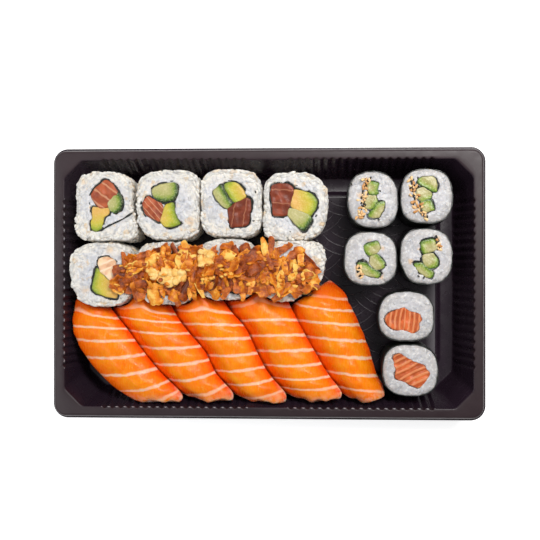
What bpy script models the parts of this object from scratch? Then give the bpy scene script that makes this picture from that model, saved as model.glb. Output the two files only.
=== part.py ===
"""Takeaway sushi tray: a black moulded tray with inside-out rolls, thin rolls and salmon nigiri.

Metres, +Z up.  The origin is on the ground under the middle of the tray, and +X runs along its length.
The sizes below are in millimetres and become metres when a mesh is made.
"""

import math

import bmesh
import bpy

MM = 0.001
GAP = 0.3  # clear space between two pieces that touch

# Tray, measured from its middle: half sizes are (half length, half depth).
TRAY_HALF = (118.0, 74.0)
RIM_HEIGHT = 28.0
SHEET = 0.8  # thickness of the moulded sheet
OUTER_RADIUS = 8.0
FLANGE_HEIGHT = 22.0  # underside of the small flange below the rim
FLANGE_REACH = 0.8  # how far the flange stands out from the skirt
EDGE_ROUNDING = 0.9  # rounding between the rim and the skirt
UNDER_ROUNDING = 0.4  # the same on the underside
LAND_OUTER = (115.3, 71.3)  # outer limit of the flat top of the rim
WALL_TOP = (110.7, 67.0)  # inner edge of the rim
WALL_FOOT = (103.7, 59.0)  # where the wall meets the moat
WALL_CHAMFER = 9.5
PLATFORM_FOOT = (96.4, 51.6)
PLATFORM_SHOULDER = (94.9, 50.1)
PLATFORM_TOP = (93.2, 48.4)
PLATFORM_CHAMFER = 8.0
PLATFORM_HEIGHT = 4.0
SHOULDER_HEIGHT = 3.4

# Upright flutes pressed outwards into the walls.
FLUTE_PITCH = 4.45
FLUTE_DEPTH = 0.9
FLUTE_SHAPE = ((0.12, 0.0), (0.50, 1.0), (0.88, 0.0))  # place along the pitch, share of the depth
SHORT_WALL_FLUTES = 21
LONG_WALL_FLUTES = 18  # on each half of a long wall
LONG_WALL_CLEAR = 10.7  # half of the plain stretch in the middle of a long wall

# Rolls stand on end on the platform.
FOOD_BASE = PLATFORM_HEIGHT + GAP
ROLL_POINTS = 24
URAMAKI_HEIGHT = 29.0
HOSOMAKI_HEIGHT = 25.0
EDGE_INSET = 1.1  # rounding of the edge round a roll's cut face

# Each roll: middle of the cut face, half sizes, squareness, how far the cut face leans from the foot,
# and swellings (angle in degrees, height, angular spread) of the outline.
URAMAKI = (
    dict(middle=(-87.4, 41.9), half=(15.5, 18.7), square=3.3, lean=(-0.6, 0.9),
         swellings=((-44, 4.4, 14), (8, -0.8, 20), (-136, 2.3, 15), (135, 0.6, 16))),
    dict(middle=(-53.3, 42.4), half=(17.2, 18.8), square=2.8, lean=(0.0, 1.0),
         swellings=((48, 1.9, 17), (-140, -0.9, 20), (-43, 1.5, 15))),
    dict(middle=(-18.9, 43.3), half=(16.3, 18.1), square=3.1, lean=(0.0, 0.9),
         swellings=((135, 0.7, 25), (-50, 0.6, 25), (-136, 0.8, 16))),
    dict(middle=(15.4, 41.5), half=(16.8, 18.2), square=2.9, lean=(0.0, 0.6),
         swellings=((15, 1.0, 30), (135, 0.8, 25), (-137, 2.4, 16))),
    dict(middle=(-89.2, 4.3), half=(17.1, 16.9), square=3.0, lean=(-2.0, 0.0),
         swellings=((152, 1.2, 16), (-135, -0.8, 25), (43, 1.7, 17))),
    dict(middle=(-54.0, 5.2), half=(16.2, 16.3), square=3.3, lean=(0.0, 0.0),
         swellings=((-60, 0.5, 30), (42, 0.9, 18), (136, 1.0, 16))),
    dict(middle=(-21.1, 7.1), half=(15.7, 16.0), square=3.3, lean=(0.0, 0.0),
         swellings=((45, 1.0, 18), (-145, 0.5, 20), (137, 0.9, 16))),
    dict(middle=(13.4, 6.3), half=(17.8, 16.0), square=3.2, lean=(0.0, 0.0),
         swellings=((-47, -5.2, 30), (40, 2.1, 18), (139, 1.1, 16))),
)
HOSOMAKI_CUCUMBER = (
    dict(middle=(57.0, 45.4), half=(13.6, 15.2), square=2.7, lean=(0.0, 1.0),
         swellings=((35, -0.6, 25), (-60, 0.5, 30))),
    dict(middle=(85.7, 47.1), half=(13.7, 14.7), square=2.9, lean=(0.4, 1.8),
         swellings=((-10, 0.4, 20), (-150, 0.5, 25))),
    dict(middle=(55.9, 13.6), half=(14.1, 14.6), square=3.0, lean=(0.0, 0.0),
         swellings=((200, 0.5, 20), (60, -0.5, 30))),
    dict(middle=(85.5, 14.6), half=(14.0, 15.0), square=2.8, lean=(0.4, 0.0),
         swellings=((215, -1.3, 12), (120, 0.4, 25))),
)
HOSOMAKI_SALMON = (
    dict(middle=(74.8, -17.5), half=(15.0, 13.4), square=2.9, lean=(0.0, 0.0),
         swellings=((-30, 0.4, 25), (150, -0.5, 25))),
    dict(middle=(77.0, -46.6), half=(15.0, 14.0), square=2.9, lean=(0.0, -1.2),
         swellings=((40, -0.4, 25), (-130, -0.5, 25))),
)
# How the outline grows or shrinks with height: (share of the height, growth).  The last two stages
# round the edge of the cut face.
FOOT_STAGES = ((0.0, -1.0), (0.06, -0.4), (0.50, 0.1))

# Crispy onion lies over the tops of the second row of inside-out rolls, from left to right.
ONION_BASE = FOOD_BASE + URAMAKI_HEIGHT + GAP
ONION_LEFT = -81.5
ONION_RIGHT = 27.5
ONION_STATIONS = 19
ONION_FRONT = (-4.0, -8.6, -9.6, -8.0, -7.4, -8.4, -8.8, -4.5)  # front edge, evenly spaced from left to right
ONION_BACK = (11.0, 19.5, 20.5, 21.5, 23.0, 21.8, 21.0, 15.0)  # back edge
ONION_HEIGHT = 5.4
ONION_SKIRT = 1.3  # height of the heap's edge
ONION_PLACES = (0.03, 0.16, 0.30, 0.45, 0.60, 0.75, 0.88, 0.97)  # points across the top, front to back
ONION_FOOT_INSET = 0.8
ONION_EDGE_WAVE = 0.6  # how far the outline swings in and out
ONION_LUMPS = (0.9, 0.8, 0.7)  # heights of three crossing waves of lumps

# The nigiri lie side by side on a slant.  Six lines part them, from the left wall to the free right side;
# each line gives its X where Y has gone EDGE_STEP further to the front, starting at EDGE_START.
EDGE_START = 2.0
EDGE_STEP = 13.0
NIGIRI_EDGES = (
    (-98.0, -101.4, -104.3, -99.4, -89.4, -75.0),
    (-98.0, -88.5, -77.0, -67.5, -56.5, -42.0),
    (-63.0, -53.5, -44.5, -33.5, -26.5, -13.0),
    (-31.0, -23.0, -11.3, -5.0, 2.5, 15.0),
    (4.0, 12.3, 19.3, 26.6, 34.5, 46.0),
    (34.0, 45.5, 52.0, 56.8, 60.9, 69.0),
)
# Each slice: Y at the left and right of its head and of its tail, how far the middle of its head bows
# out towards the rolls, how far its left and right edges hang below the crest, how far the left flank
# swells out over its own edge, and the height of the crest.
NIGIRI = (
    dict(head=(-13.7, -13.6), tail=(-64.6, -63.8), bow=0.5, drop=(15.0, 6.8), bulge=6.5, crest=30.6),
    dict(head=(-14.2, -12.4), tail=(-65.3, -62.4), bow=2.0, drop=(14.5, 6.8), bulge=0.0, crest=31.0),
    dict(head=(-13.0, -10.6), tail=(-65.4, -63.0), bow=1.0, drop=(14.5, 6.8), bulge=0.0, crest=31.2),
    dict(head=(-10.9, -10.9), tail=(-65.3, -61.8), bow=1.0, drop=(14.5, 6.8), bulge=0.0, crest=31.0),
    dict(head=(-14.2, 1.0), tail=(-65.4, -60.8), bow=0.0, drop=(14.5, 14.0), bulge=0.0, crest=31.2),
)
SLICE_TUCK = 2.2  # how far a slice reaches in under the edge of its left neighbour
SLICE_THICKNESS = 4.6
SLICE_EDGE_THICKNESS = 2.4
SLICE_CREST_PLACE = 0.47  # place of the crest between the left and right edges
SLICE_STATIONS = (0.0, 0.07, 0.19, 0.32, 0.45, 0.58, 0.71, 0.83, 0.91, 0.97, 1.0)
LEFT_CURVE = 2.2  # how late the flank turns down from the crest: 1 is straight, more is rounder
RIGHT_CURVE = 2.3
TAIL_START = 0.80  # where the tail begins to narrow and sink
TAIL_NARROWING = 0.66
TAIL_NARROWING_CURVE = 3.2
TAIL_MIDDLE = 0.58  # the place across the slice towards which the tail narrows
TAIL_SINK = 2.4
TAIL_SINK_CURVE = 1.8
TAIL_LEFT_RISE = 0.55  # share of the edge drop lost at the tail
TAIL_LEFT_CURVE = 1.2
TAIL_RIGHT_RISE = 0.55
TAIL_THINNING = 0.35
HEAD_SINK = 3.2
HEAD_LENGTH = 0.22
BOW_LENGTH = 0.30  # share of the slice over which the bow of the head dies out

# Rice under the slices, as shares of a slice's length and width.
RICE_STATIONS = (0.035, 0.12, 0.27, 0.42, 0.57, 0.71, 0.81, 0.87)
RICE_LEFT = 0.17
RICE_RIGHT = 0.80
RICE_CLEARANCE = 0.9  # below the underside of the slice
RICE_END_START = 0.71  # where the rice begins to sink away from the slice
RICE_END_SINK = 4.0
RICE_MIDDLE = 0.45  # height of the block's widest place, as a share of its sides
RICE_FOOT_INSET = 0.8
RICE_SWELL = (0.2, 0.5)  # how far the left and right sides swell out

COLOURS = {
    "tray": ((0.012, 0.010, 0.012), 0.32),
    "uramaki": ((0.78, 0.76, 0.70), 0.55),
    "hosomaki": ((0.76, 0.75, 0.71), 0.55),
    "rice": ((0.78, 0.76, 0.70), 0.55),
    "onion": ((0.50, 0.21, 0.05), 0.60),
    "salmon": ((0.85, 0.19, 0.03), 0.30),
}


def clear_scene():
    """Remove every object that the file starts with."""
    for thing in list(bpy.data.objects):
        bpy.data.objects.remove(thing, do_unlink=True)


def add_object(name, bm, look):
    """Turn a bmesh in millimetres into a named object in metres with its own material."""
    bmesh.ops.scale(bm, vec=(MM, MM, MM), verts=bm.verts)
    bmesh.ops.recalc_face_normals(bm, faces=bm.faces)
    mesh = bpy.data.meshes.new(name)
    bm.to_mesh(mesh)
    bm.free()
    mesh.shade_smooth()
    mesh.set_sharp_from_angle(angle=math.radians(40))
    colour, roughness = COLOURS[look]
    material = bpy.data.materials.new(name)
    material.use_nodes = True
    shader = material.node_tree.nodes["Principled BSDF"]
    shader.inputs["Base Color"].default_value = (*colour, 1.0)
    shader.inputs["Roughness"].default_value = roughness
    shader.inputs["Metallic"].default_value = 0.0
    mesh.materials.append(material)
    thing = bpy.data.objects.new(name, mesh)
    bpy.context.scene.collection.objects.link(thing)
    return thing


def bridge(bm, row, following):
    """Fill the strip between two rings of equal length, point by point."""
    for i in range(len(row)):
        j = (i + 1) % len(row)
        bm.faces.new((row[i], row[j], following[j], following[i]))


def loft(rings):
    """Join rings of equal length into one closed body with a flat cap on each end."""
    bm = bmesh.new()
    rows = [[bm.verts.new(point) for point in ring] for ring in rings]
    for row, following in zip(rows, rows[1:]):
        bridge(bm, row, following)
    bm.faces.new(reversed(rows[0]))
    bm.faces.new(rows[-1])
    return bm


def smooth_between(values, place):
    """Read a Catmull-Rom curve through evenly spaced values; place counts in steps from the first."""
    last = len(values) - 1
    i = min(max(int(math.floor(place)), 0), last - 1)
    t = place - i
    before = values[i - 1] if i > 0 else 2 * values[0] - values[1]
    after = values[i + 2] if i + 2 <= last else 2 * values[last] - values[last - 1]
    a, b = values[i], values[i + 1]
    return 0.5 * (2 * a + (b - before) * t + (2 * before - 5 * a + 4 * b - after) * t ** 2
                  + (3 * a - before - 3 * b + after) * t ** 3)


# ---------------------------------------------------------------------------------------------- tray


def rounded_ring(half, height):
    """Rounded rectangle inside the outer edge of the tray, anticlockwise, with a few points on its sides."""
    points = []
    steps = 4
    radius = OUTER_RADIUS - (TRAY_HALF[0] - half[0])
    for corner in range(4):
        sign_x = (1, -1, -1, 1)[corner]
        sign_y = (1, 1, -1, -1)[corner]
        for step in range(steps + 1):
            angle = math.radians(90 * (corner + step / steps))
            x = sign_x * (half[0] - radius) + radius * math.cos(angle)
            y = sign_y * (half[1] - radius) + radius * math.sin(angle)
            points.append((x, y, height))
        along_x = corner % 2 == 0
        reach = (half[0] if along_x else half[1]) - radius
        for share in (0.5, 0.0, -0.5):
            if along_x:
                points.append((sign_x * reach * share, sign_y * half[1], height))
            else:
                points.append((sign_x * half[0], sign_y * reach * share, height))
    return points


def chamfered_ring(half, height, chamfer):
    """Rectangle with cut corners, anticlockwise from the right end of the back side."""
    points = []
    for sign_x, sign_y, along_y_first in ((1, 1, True), (-1, 1, False), (-1, -1, True), (1, -1, False)):
        on_end = (sign_x * half[0], sign_y * (half[1] - chamfer), height)
        on_side = (sign_x * (half[0] - chamfer), sign_y * half[1], height)
        points += [on_end, on_side] if along_y_first else [on_side, on_end]
    return points


def flute_places(flutes_from, count):
    """Points (place along the wall, share of the flute depth) of one run of flutes."""
    places = []
    for i in range(count):
        for share, depth in FLUTE_SHAPE:
            places.append((flutes_from + (i + share) * FLUTE_PITCH, depth))
    return places


def fluted_ring(half, height, chamfer):
    """Chamfered rectangle whose four sides carry the flutes, anticlockwise."""
    run = LONG_WALL_FLUTES * FLUTE_PITCH
    long_side = flute_places(-LONG_WALL_CLEAR - run, LONG_WALL_FLUTES)
    long_side += flute_places(LONG_WALL_CLEAR, LONG_WALL_FLUTES)
    short_side = flute_places(-SHORT_WALL_FLUTES * FLUTE_PITCH / 2, SHORT_WALL_FLUTES)
    corners = chamfered_ring(half, height, chamfer)
    points = corners[0:2]
    points += [(-place, half[1] + depth * FLUTE_DEPTH, height) for place, depth in long_side]
    points += corners[2:4]
    points += [(-half[0] - depth * FLUTE_DEPTH, -place, height) for place, depth in short_side]
    points += corners[4:6]
    points += [(place, -half[1] - depth * FLUTE_DEPTH, height) for place, depth in long_side]
    points += corners[6:8]
    points += [(half[0] + depth * FLUTE_DEPTH, place, height) for place, depth in short_side]
    return points


def stitch(bm, inner, outer):
    """Fill the strip between two rings that may differ in their number of points."""
    def by_angle(ring):
        return sorted(ring, key=lambda vert: math.atan2(vert.co.y, vert.co.x) % math.tau)

    def angle(ring, i):
        vert = ring[i % len(ring)]
        return math.atan2(vert.co.y, vert.co.x) % math.tau + math.tau * (i // len(ring))

    inner = by_angle(inner)
    outer = by_angle(outer)
    i = j = 0
    while i < len(inner) or j < len(outer):
        a = inner[i % len(inner)]
        b = outer[j % len(outer)]
        inner_next = j >= len(outer) or (i < len(inner) and angle(inner, i + 1) <= angle(outer, j + 1))
        if inner_next:
            i += 1
            bm.faces.new((a, b, inner[i % len(inner)]))
        else:
            j += 1
            bm.faces.new((a, b, outer[j % len(outer)]))


def grown(half, amount):
    """Half sizes moved outwards by one amount."""
    return (half[0] + amount, half[1] + amount)


def build_tray():
    """One moulded sheet: platform, moat, fluted wall, rim and skirt, with an even thickness."""
    moat = SHEET
    wall_slope = (WALL_TOP[0] - WALL_FOOT[0]) / (RIM_HEIGHT - moat)
    wall_offset = SHEET * math.hypot(1.0, wall_slope) - wall_slope * SHEET
    rim_under = RIM_HEIGHT - SHEET
    side_slope = (PLATFORM_FOOT[0] - PLATFORM_SHOULDER[0]) / (SHOULDER_HEIGHT - moat)
    side_offset = SHEET * math.hypot(1.0, side_slope) - side_slope * SHEET
    skirt = grown(TRAY_HALF, -FLANGE_REACH)
    skirt_top = grown(LAND_OUTER, EDGE_ROUNDING)
    rings = (
        chamfered_ring(PLATFORM_TOP, PLATFORM_HEIGHT, PLATFORM_CHAMFER),
        chamfered_ring(PLATFORM_SHOULDER, SHOULDER_HEIGHT, PLATFORM_CHAMFER),
        chamfered_ring(PLATFORM_FOOT, moat, PLATFORM_CHAMFER),
        fluted_ring(WALL_FOOT, moat, WALL_CHAMFER),
        fluted_ring(WALL_TOP, RIM_HEIGHT, WALL_CHAMFER),
        rounded_ring(LAND_OUTER, RIM_HEIGHT),
        rounded_ring(skirt_top, RIM_HEIGHT - SHEET),
        rounded_ring(skirt, FLANGE_HEIGHT + SHEET),
        rounded_ring(TRAY_HALF, FLANGE_HEIGHT + SHEET),
        rounded_ring(TRAY_HALF, FLANGE_HEIGHT),
        rounded_ring(grown(skirt, -SHEET), FLANGE_HEIGHT),
        rounded_ring(grown(skirt_top, -SHEET), rim_under - UNDER_ROUNDING),
        rounded_ring(grown(LAND_OUTER, -UNDER_ROUNDING), rim_under),
        fluted_ring(grown(WALL_TOP, wall_offset), rim_under, WALL_CHAMFER),
        fluted_ring(grown(WALL_FOOT, wall_offset), 0.0, WALL_CHAMFER),
        chamfered_ring(grown(PLATFORM_FOOT, -side_offset), 0.0, PLATFORM_CHAMFER),
        chamfered_ring(grown(PLATFORM_SHOULDER, -SHEET), SHOULDER_HEIGHT - SHEET, PLATFORM_CHAMFER),
        chamfered_ring(grown(PLATFORM_TOP, -SHEET / 4), PLATFORM_HEIGHT - SHEET, PLATFORM_CHAMFER),
    )
    bm = bmesh.new()
    rows = [[bm.verts.new(point) for point in ring] for ring in rings]
    for row, following in zip(rows, rows[1:]):
        if len(row) == len(following):
            bridge(bm, row, following)
        else:
            stitch(bm, row, following)
    bm.faces.new(rows[0])
    bm.faces.new(rows[-1])
    return add_object("tray", bm, "tray")


# --------------------------------------------------------------------------------------------- rolls


def roll_outline(half, square, swellings):
    """Distances from the middle to a rounded-square outline, at even angles."""
    distances = []
    for i in range(ROLL_POINTS):
        angle = math.tau * i / ROLL_POINTS
        across = abs(math.cos(angle)) / half[0]
        along = abs(math.sin(angle)) / half[1]
        distance = (across ** square + along ** square) ** (-1 / square)
        for place, height, spread in swellings:
            turn = (math.degrees(angle) - place + 180) % 360 - 180
            distance += height * math.exp(-(turn / spread) ** 2)
        distances.append(distance)
    return distances


def build_roll(name, middle, half, square, lean, swellings, height, look):
    """A roll standing on end: narrow foot, slightly full side, rounded edge and flat cut face."""
    distances = roll_outline(half, square, swellings)
    stages = (*FOOT_STAGES, (1.0 - EDGE_INSET / height, 0.0), (1.0, -EDGE_INSET))
    rings = []
    for share, growth in stages:
        centre_x = middle[0] - lean[0] * (1 - share)
        centre_y = middle[1] - lean[1] * (1 - share)
        ring = []
        for i, distance in enumerate(distances):
            angle = math.tau * i / ROLL_POINTS
            x = centre_x + (distance + growth) * math.cos(angle)
            y = centre_y + (distance + growth) * math.sin(angle)
            ring.append((x, y, FOOD_BASE + share * height))
        rings.append(ring)
    return add_object(name, loft(rings), look)


# --------------------------------------------------------------------------------------------- onion


def onion_top(x, y, place, along):
    """Height of the heap: full in the middle, low at its edges, with lumps the size of a few flakes."""
    fullness = (1 - (2 * place - 1) ** 6) * (1 - (2 * along - 1) ** 8)
    small, slanting, wide = ONION_LUMPS
    lumps = small * math.sin(x / 2.9 + 1.1 * math.sin(y / 4.0))
    lumps += slanting * math.sin(y / 2.7 + x / 6.0)
    lumps += wide * math.sin(x / 7.5 + 0.8)
    return ONION_SKIRT + fullness * (ONION_HEIGHT - ONION_SKIRT + lumps)


def build_onion():
    """The heap of crispy onion as one lumpy body out to its uneven outline."""
    rings = []
    for i in range(ONION_STATIONS):
        along = i / (ONION_STATIONS - 1)
        x = ONION_LEFT + (ONION_RIGHT - ONION_LEFT) * along
        front = smooth_between(ONION_FRONT, along * (len(ONION_FRONT) - 1))
        front += ONION_EDGE_WAVE * math.sin(x / 2.6)
        back = smooth_between(ONION_BACK, along * (len(ONION_BACK) - 1))
        back += ONION_EDGE_WAVE * math.sin(x / 2.2 + 1.0)
        ring = [(x, front + ONION_FOOT_INSET, ONION_BASE), (x, front, ONION_BASE + ONION_SKIRT)]
        for place in ONION_PLACES:
            y = front + (back - front) * place
            ring.append((x, y, ONION_BASE + onion_top(x, y, place, along)))
        ring += [(x, back, ONION_BASE + ONION_SKIRT), (x, back - ONION_FOOT_INSET, ONION_BASE)]
        rings.append(ring)
    return add_object("crispy_onion_heap", loft(rings), "onion")


# -------------------------------------------------------------------------------------------- nigiri


def edge_x(number, y):
    """X of one of the parting lines at a given Y."""
    return smooth_between(NIGIRI_EDGES[number], (EDGE_START - y) / EDGE_STEP)


def slice_arch(number, station, shares):
    """Top line of slice `number` across its width: points and outward normals in its own section.

    A section is upright and straight in plan.  Each entry is (plan point, height, normal across, normal up).
    """
    shape = NIGIRI[number]
    y_left, y_right = (start + (end - start) * station for start, end in zip(shape["head"], shape["tail"]))
    tuck = SLICE_TUCK if number else 0.0
    left = (edge_x(number, y_left) - tuck, y_left)
    right = (edge_x(number + 1, y_right), y_right)
    tail = max(0.0, (station - TAIL_START) / (1 - TAIL_START))
    head = max(0.0, 1 - station / HEAD_LENGTH)
    bow = shape["bow"] * max(0.0, 1 - station / BOW_LENGTH) ** 2
    width_share = math.sqrt(1 - TAIL_NARROWING * tail ** TAIL_NARROWING_CURVE)
    crest = shape["crest"] - TAIL_SINK * tail ** TAIL_SINK_CURVE - HEAD_SINK * head ** 2
    drop_left = shape["drop"][0] * (1 - TAIL_LEFT_RISE * tail ** TAIL_LEFT_CURVE)
    drop_right = shape["drop"][1] * (1 - TAIL_RIGHT_RISE * tail)
    width = math.hypot(right[0] - left[0], right[1] - left[1])

    def at(share):
        spread = TAIL_MIDDLE + (share - TAIL_MIDDLE) * width_share
        x = left[0] + (right[0] - left[0]) * spread
        y = left[1] + (right[1] - left[1]) * spread + bow * math.sin(math.pi * share)
        if share < SLICE_CREST_PLACE:
            height = crest - drop_left * ((SLICE_CREST_PLACE - share) / SLICE_CREST_PLACE) ** LEFT_CURVE
            x -= shape["bulge"] * math.sin(math.pi * (crest - height) / drop_left)
        else:
            reach = (share - SLICE_CREST_PLACE) / (1 - SLICE_CREST_PLACE)
            height = crest - drop_right * reach ** RIGHT_CURVE
        return x, y, height

    step = 0.01
    arch = []
    for share in shares:
        before = at(max(share - step, 0.0))
        after = at(min(share + step, 1.0))
        run = math.hypot(after[0] - before[0], after[1] - before[1])
        rise = after[2] - before[2]
        length = math.hypot(run, rise)
        across = ((right[0] - left[0]) / width, (right[1] - left[1]) / width)
        arch.append((at(share), across, -rise / length, run / length))
    return arch


def below(arch_point, depth):
    """The point at a depth under a point of the arch, square to it."""
    (x, y, height), across, out, up = arch_point
    return (x - across[0] * out * depth, y - across[1] * out * depth, height - up * depth)


def build_slice(number):
    """A slice of salmon draped over its rice, thick at the crest and thin at its edges."""
    top_shares = (0.0, 0.05, 0.13, 0.24, 0.36, 0.48, 0.62, 0.76, 0.89, 1.0)
    low_shares = (0.98, 0.85, 0.68, 0.50, 0.32, 0.16, 0.04)
    rings = []
    for station in SLICE_STATIONS:
        ring = [point for point, _, _, _ in slice_arch(number, station, top_shares)]
        thin = 1.0 - TAIL_THINNING * max(0.0, (station - TAIL_START) / (1 - TAIL_START))
        for share, arch_point in zip(low_shares, slice_arch(number, station, low_shares)):
            fullness = math.sin(math.pi * share)
            depth = SLICE_EDGE_THICKNESS + (SLICE_THICKNESS - SLICE_EDGE_THICKNESS) * fullness
            ring.append(below(arch_point, depth * thin))
        rings.append(ring)
    return add_object(f"nigiri_salmon_{number + 1}", loft(rings), "salmon")


def build_nigiri_rice(number):
    """The pressed block of rice under a slice, open to view at its lower end."""
    shares = tuple(RICE_LEFT + (RICE_RIGHT - RICE_LEFT) * i / 5 for i in range(6))
    rings = []
    for station in RICE_STATIONS:
        nearness = max(0.0, (station - RICE_END_START) / (RICE_STATIONS[-1] - RICE_END_START))
        sink = RICE_END_SINK * nearness ** 2
        arch = slice_arch(number, station, shares)
        top = [below(point, SLICE_THICKNESS + RICE_CLEARANCE) for point in arch]
        top = [(x, y, height - sink) for x, y, height in top]
        right = top[-1]
        left = top[0]
        middle_height = FOOD_BASE + RICE_MIDDLE * (min(left[2], right[2]) - FOOD_BASE)
        low = [
            (right[0] + RICE_SWELL[1], right[1], middle_height),
            (right[0] - RICE_FOOT_INSET, right[1], FOOD_BASE),
            (left[0] + RICE_FOOT_INSET, left[1], FOOD_BASE),
            (left[0] - RICE_SWELL[0], left[1], middle_height),
        ]
        rings.append(top + low)
    return add_object(f"nigiri_rice_{number + 1}", loft(rings), "rice")


def main():
    """Build the tray and all that lies in it."""
    clear_scene()
    build_tray()
    for number, shape in enumerate(URAMAKI, start=1):
        build_roll(f"uramaki_{number}", height=URAMAKI_HEIGHT, look="uramaki", **shape)
    for number, shape in enumerate(HOSOMAKI_CUCUMBER, start=1):
        build_roll(f"hosomaki_cucumber_{number}", height=HOSOMAKI_HEIGHT, look="hosomaki", **shape)
    for number, shape in enumerate(HOSOMAKI_SALMON, start=1):
        build_roll(f"hosomaki_salmon_{number}", height=HOSOMAKI_HEIGHT, look="hosomaki", **shape)
    build_onion()
    for number in range(len(NIGIRI)):
        build_slice(number)
        build_nigiri_rice(number)


main()
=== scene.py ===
"""Looks of the takeaway sushi tray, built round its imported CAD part. Lengths are in millimetres."""

import math

import bpy
import numpy as np
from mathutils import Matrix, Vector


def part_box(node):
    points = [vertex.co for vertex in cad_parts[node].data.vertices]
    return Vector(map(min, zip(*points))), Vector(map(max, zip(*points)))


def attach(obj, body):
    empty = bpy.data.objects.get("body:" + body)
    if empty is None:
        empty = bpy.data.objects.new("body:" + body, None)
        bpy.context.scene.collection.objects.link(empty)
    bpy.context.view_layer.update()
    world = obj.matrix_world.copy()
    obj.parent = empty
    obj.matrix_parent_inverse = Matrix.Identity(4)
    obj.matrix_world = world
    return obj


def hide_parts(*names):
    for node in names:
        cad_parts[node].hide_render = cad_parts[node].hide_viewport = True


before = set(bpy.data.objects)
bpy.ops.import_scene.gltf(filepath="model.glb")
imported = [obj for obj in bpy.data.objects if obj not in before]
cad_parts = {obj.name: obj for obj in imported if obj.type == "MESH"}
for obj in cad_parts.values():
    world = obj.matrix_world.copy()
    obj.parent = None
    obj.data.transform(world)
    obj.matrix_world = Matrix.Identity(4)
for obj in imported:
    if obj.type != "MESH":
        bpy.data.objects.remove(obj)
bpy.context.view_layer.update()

MM = 0.001
TAU = math.tau

# ---------------- small helpers


def noise(points, size, seed=0):
    """Smooth noise from -1 to 1 with lumps about `size` across."""
    table = np.random.default_rng(seed).uniform(-1, 1, 8192)
    place = np.asarray(points, float) / size
    cell = np.floor(place).astype(np.int64)
    t = place - cell
    t = t * t * (3 - 2 * t)
    total = np.zeros(len(place))
    for corner in np.ndindex(2, 2, 2):
        x, y, z = ((cell + corner) * (73856093, 19349663, 83492791)).T
        weight = np.where(corner, t, 1 - t).prod(1)
        total += weight * table[(x ^ y ^ z) % 8192]
    return total


def unit(vectors):
    return vectors / np.maximum(np.linalg.norm(vectors, axis=-1, keepdims=True), 1e-9)


def slope(value, start, end):
    """0 up to the start, 1 from the end on and a straight slope between. The start may be the larger."""
    return np.clip((value - start) / (end - start), 0, 1)


def raised(spots, z=0.0):
    """Spots in plan at one height, or each at its own."""
    return np.column_stack((spots, np.broadcast_to(z, len(spots))))


def node_points(node):
    """The corners of a CAD node in millimetres."""
    return np.array([v.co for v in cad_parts[node].data.vertices], float) / MM


def rounded(corners, times=3, closed=True):
    """Cut the corners of a polygon or path again and again until it is smooth."""
    path = np.array(corners, float)
    for _ in range(times):
        following = np.roll(path, -1, 0) if closed else path[1:]
        start = path if closed else path[:-1]
        pair = (0.75 * start + 0.25 * following, 0.25 * start + 0.75 * following)
        cut = np.stack(pair, 1).reshape(-1, path.shape[1])
        path = cut if closed else np.concatenate((path[:1], cut, path[-1:]))
    return path


def along(path, shares):
    """Points at shares of a path's length."""
    run = np.concatenate(([0.0], np.cumsum(np.linalg.norm(np.diff(path, axis=0), axis=1))))
    return np.stack([np.interp(shares * run[-1], run, column) for column in path.T], 1)


def resampled(path, step, closed=False):
    """Points at even distances along a path."""
    line = np.concatenate((path, path[:1])) if closed else path
    length = np.linalg.norm(np.diff(line, axis=0), axis=1).sum()
    shares = np.linspace(0, 1, max(round(length / step), 3) + 1)
    return along(line, shares[:-1] if closed else shares)


def near_path(points, path, closed=False):
    """Distance from each point to a path in plan, and the direction of the path there."""
    line = np.concatenate((path, path[:1])) if closed else path
    a = line[:-1][None]
    d = (line[1:] - line[:-1])[None]
    p = np.asarray(points, float)[:, None]
    t = np.clip(((p - a) * d).sum(2) / np.maximum((d ** 2).sum(2), 1e-9), 0, 1)
    gap = np.linalg.norm(p - a - t[..., None] * d, axis=2)
    best = gap.argmin(1)
    return gap[np.arange(len(gap)), best], unit(d[0][best])


def inside(points, polygon):
    """Whether each point lies in a polygon in plan."""
    x, y = points[:, 0][:, None], points[:, 1][:, None]
    ax, ay = polygon[:, 0][None], polygon[:, 1][None]
    bx, by = np.roll(polygon[:, 0], -1)[None], np.roll(polygon[:, 1], -1)[None]
    crosses = (ay > y) != (by > y)
    at = ax + (y - ay) * (bx - ax) / np.where(np.abs(by - ay) < 1e-9, 1e-9, by - ay)
    return ((x < at) & crosses).sum(1) % 2 == 1


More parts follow.
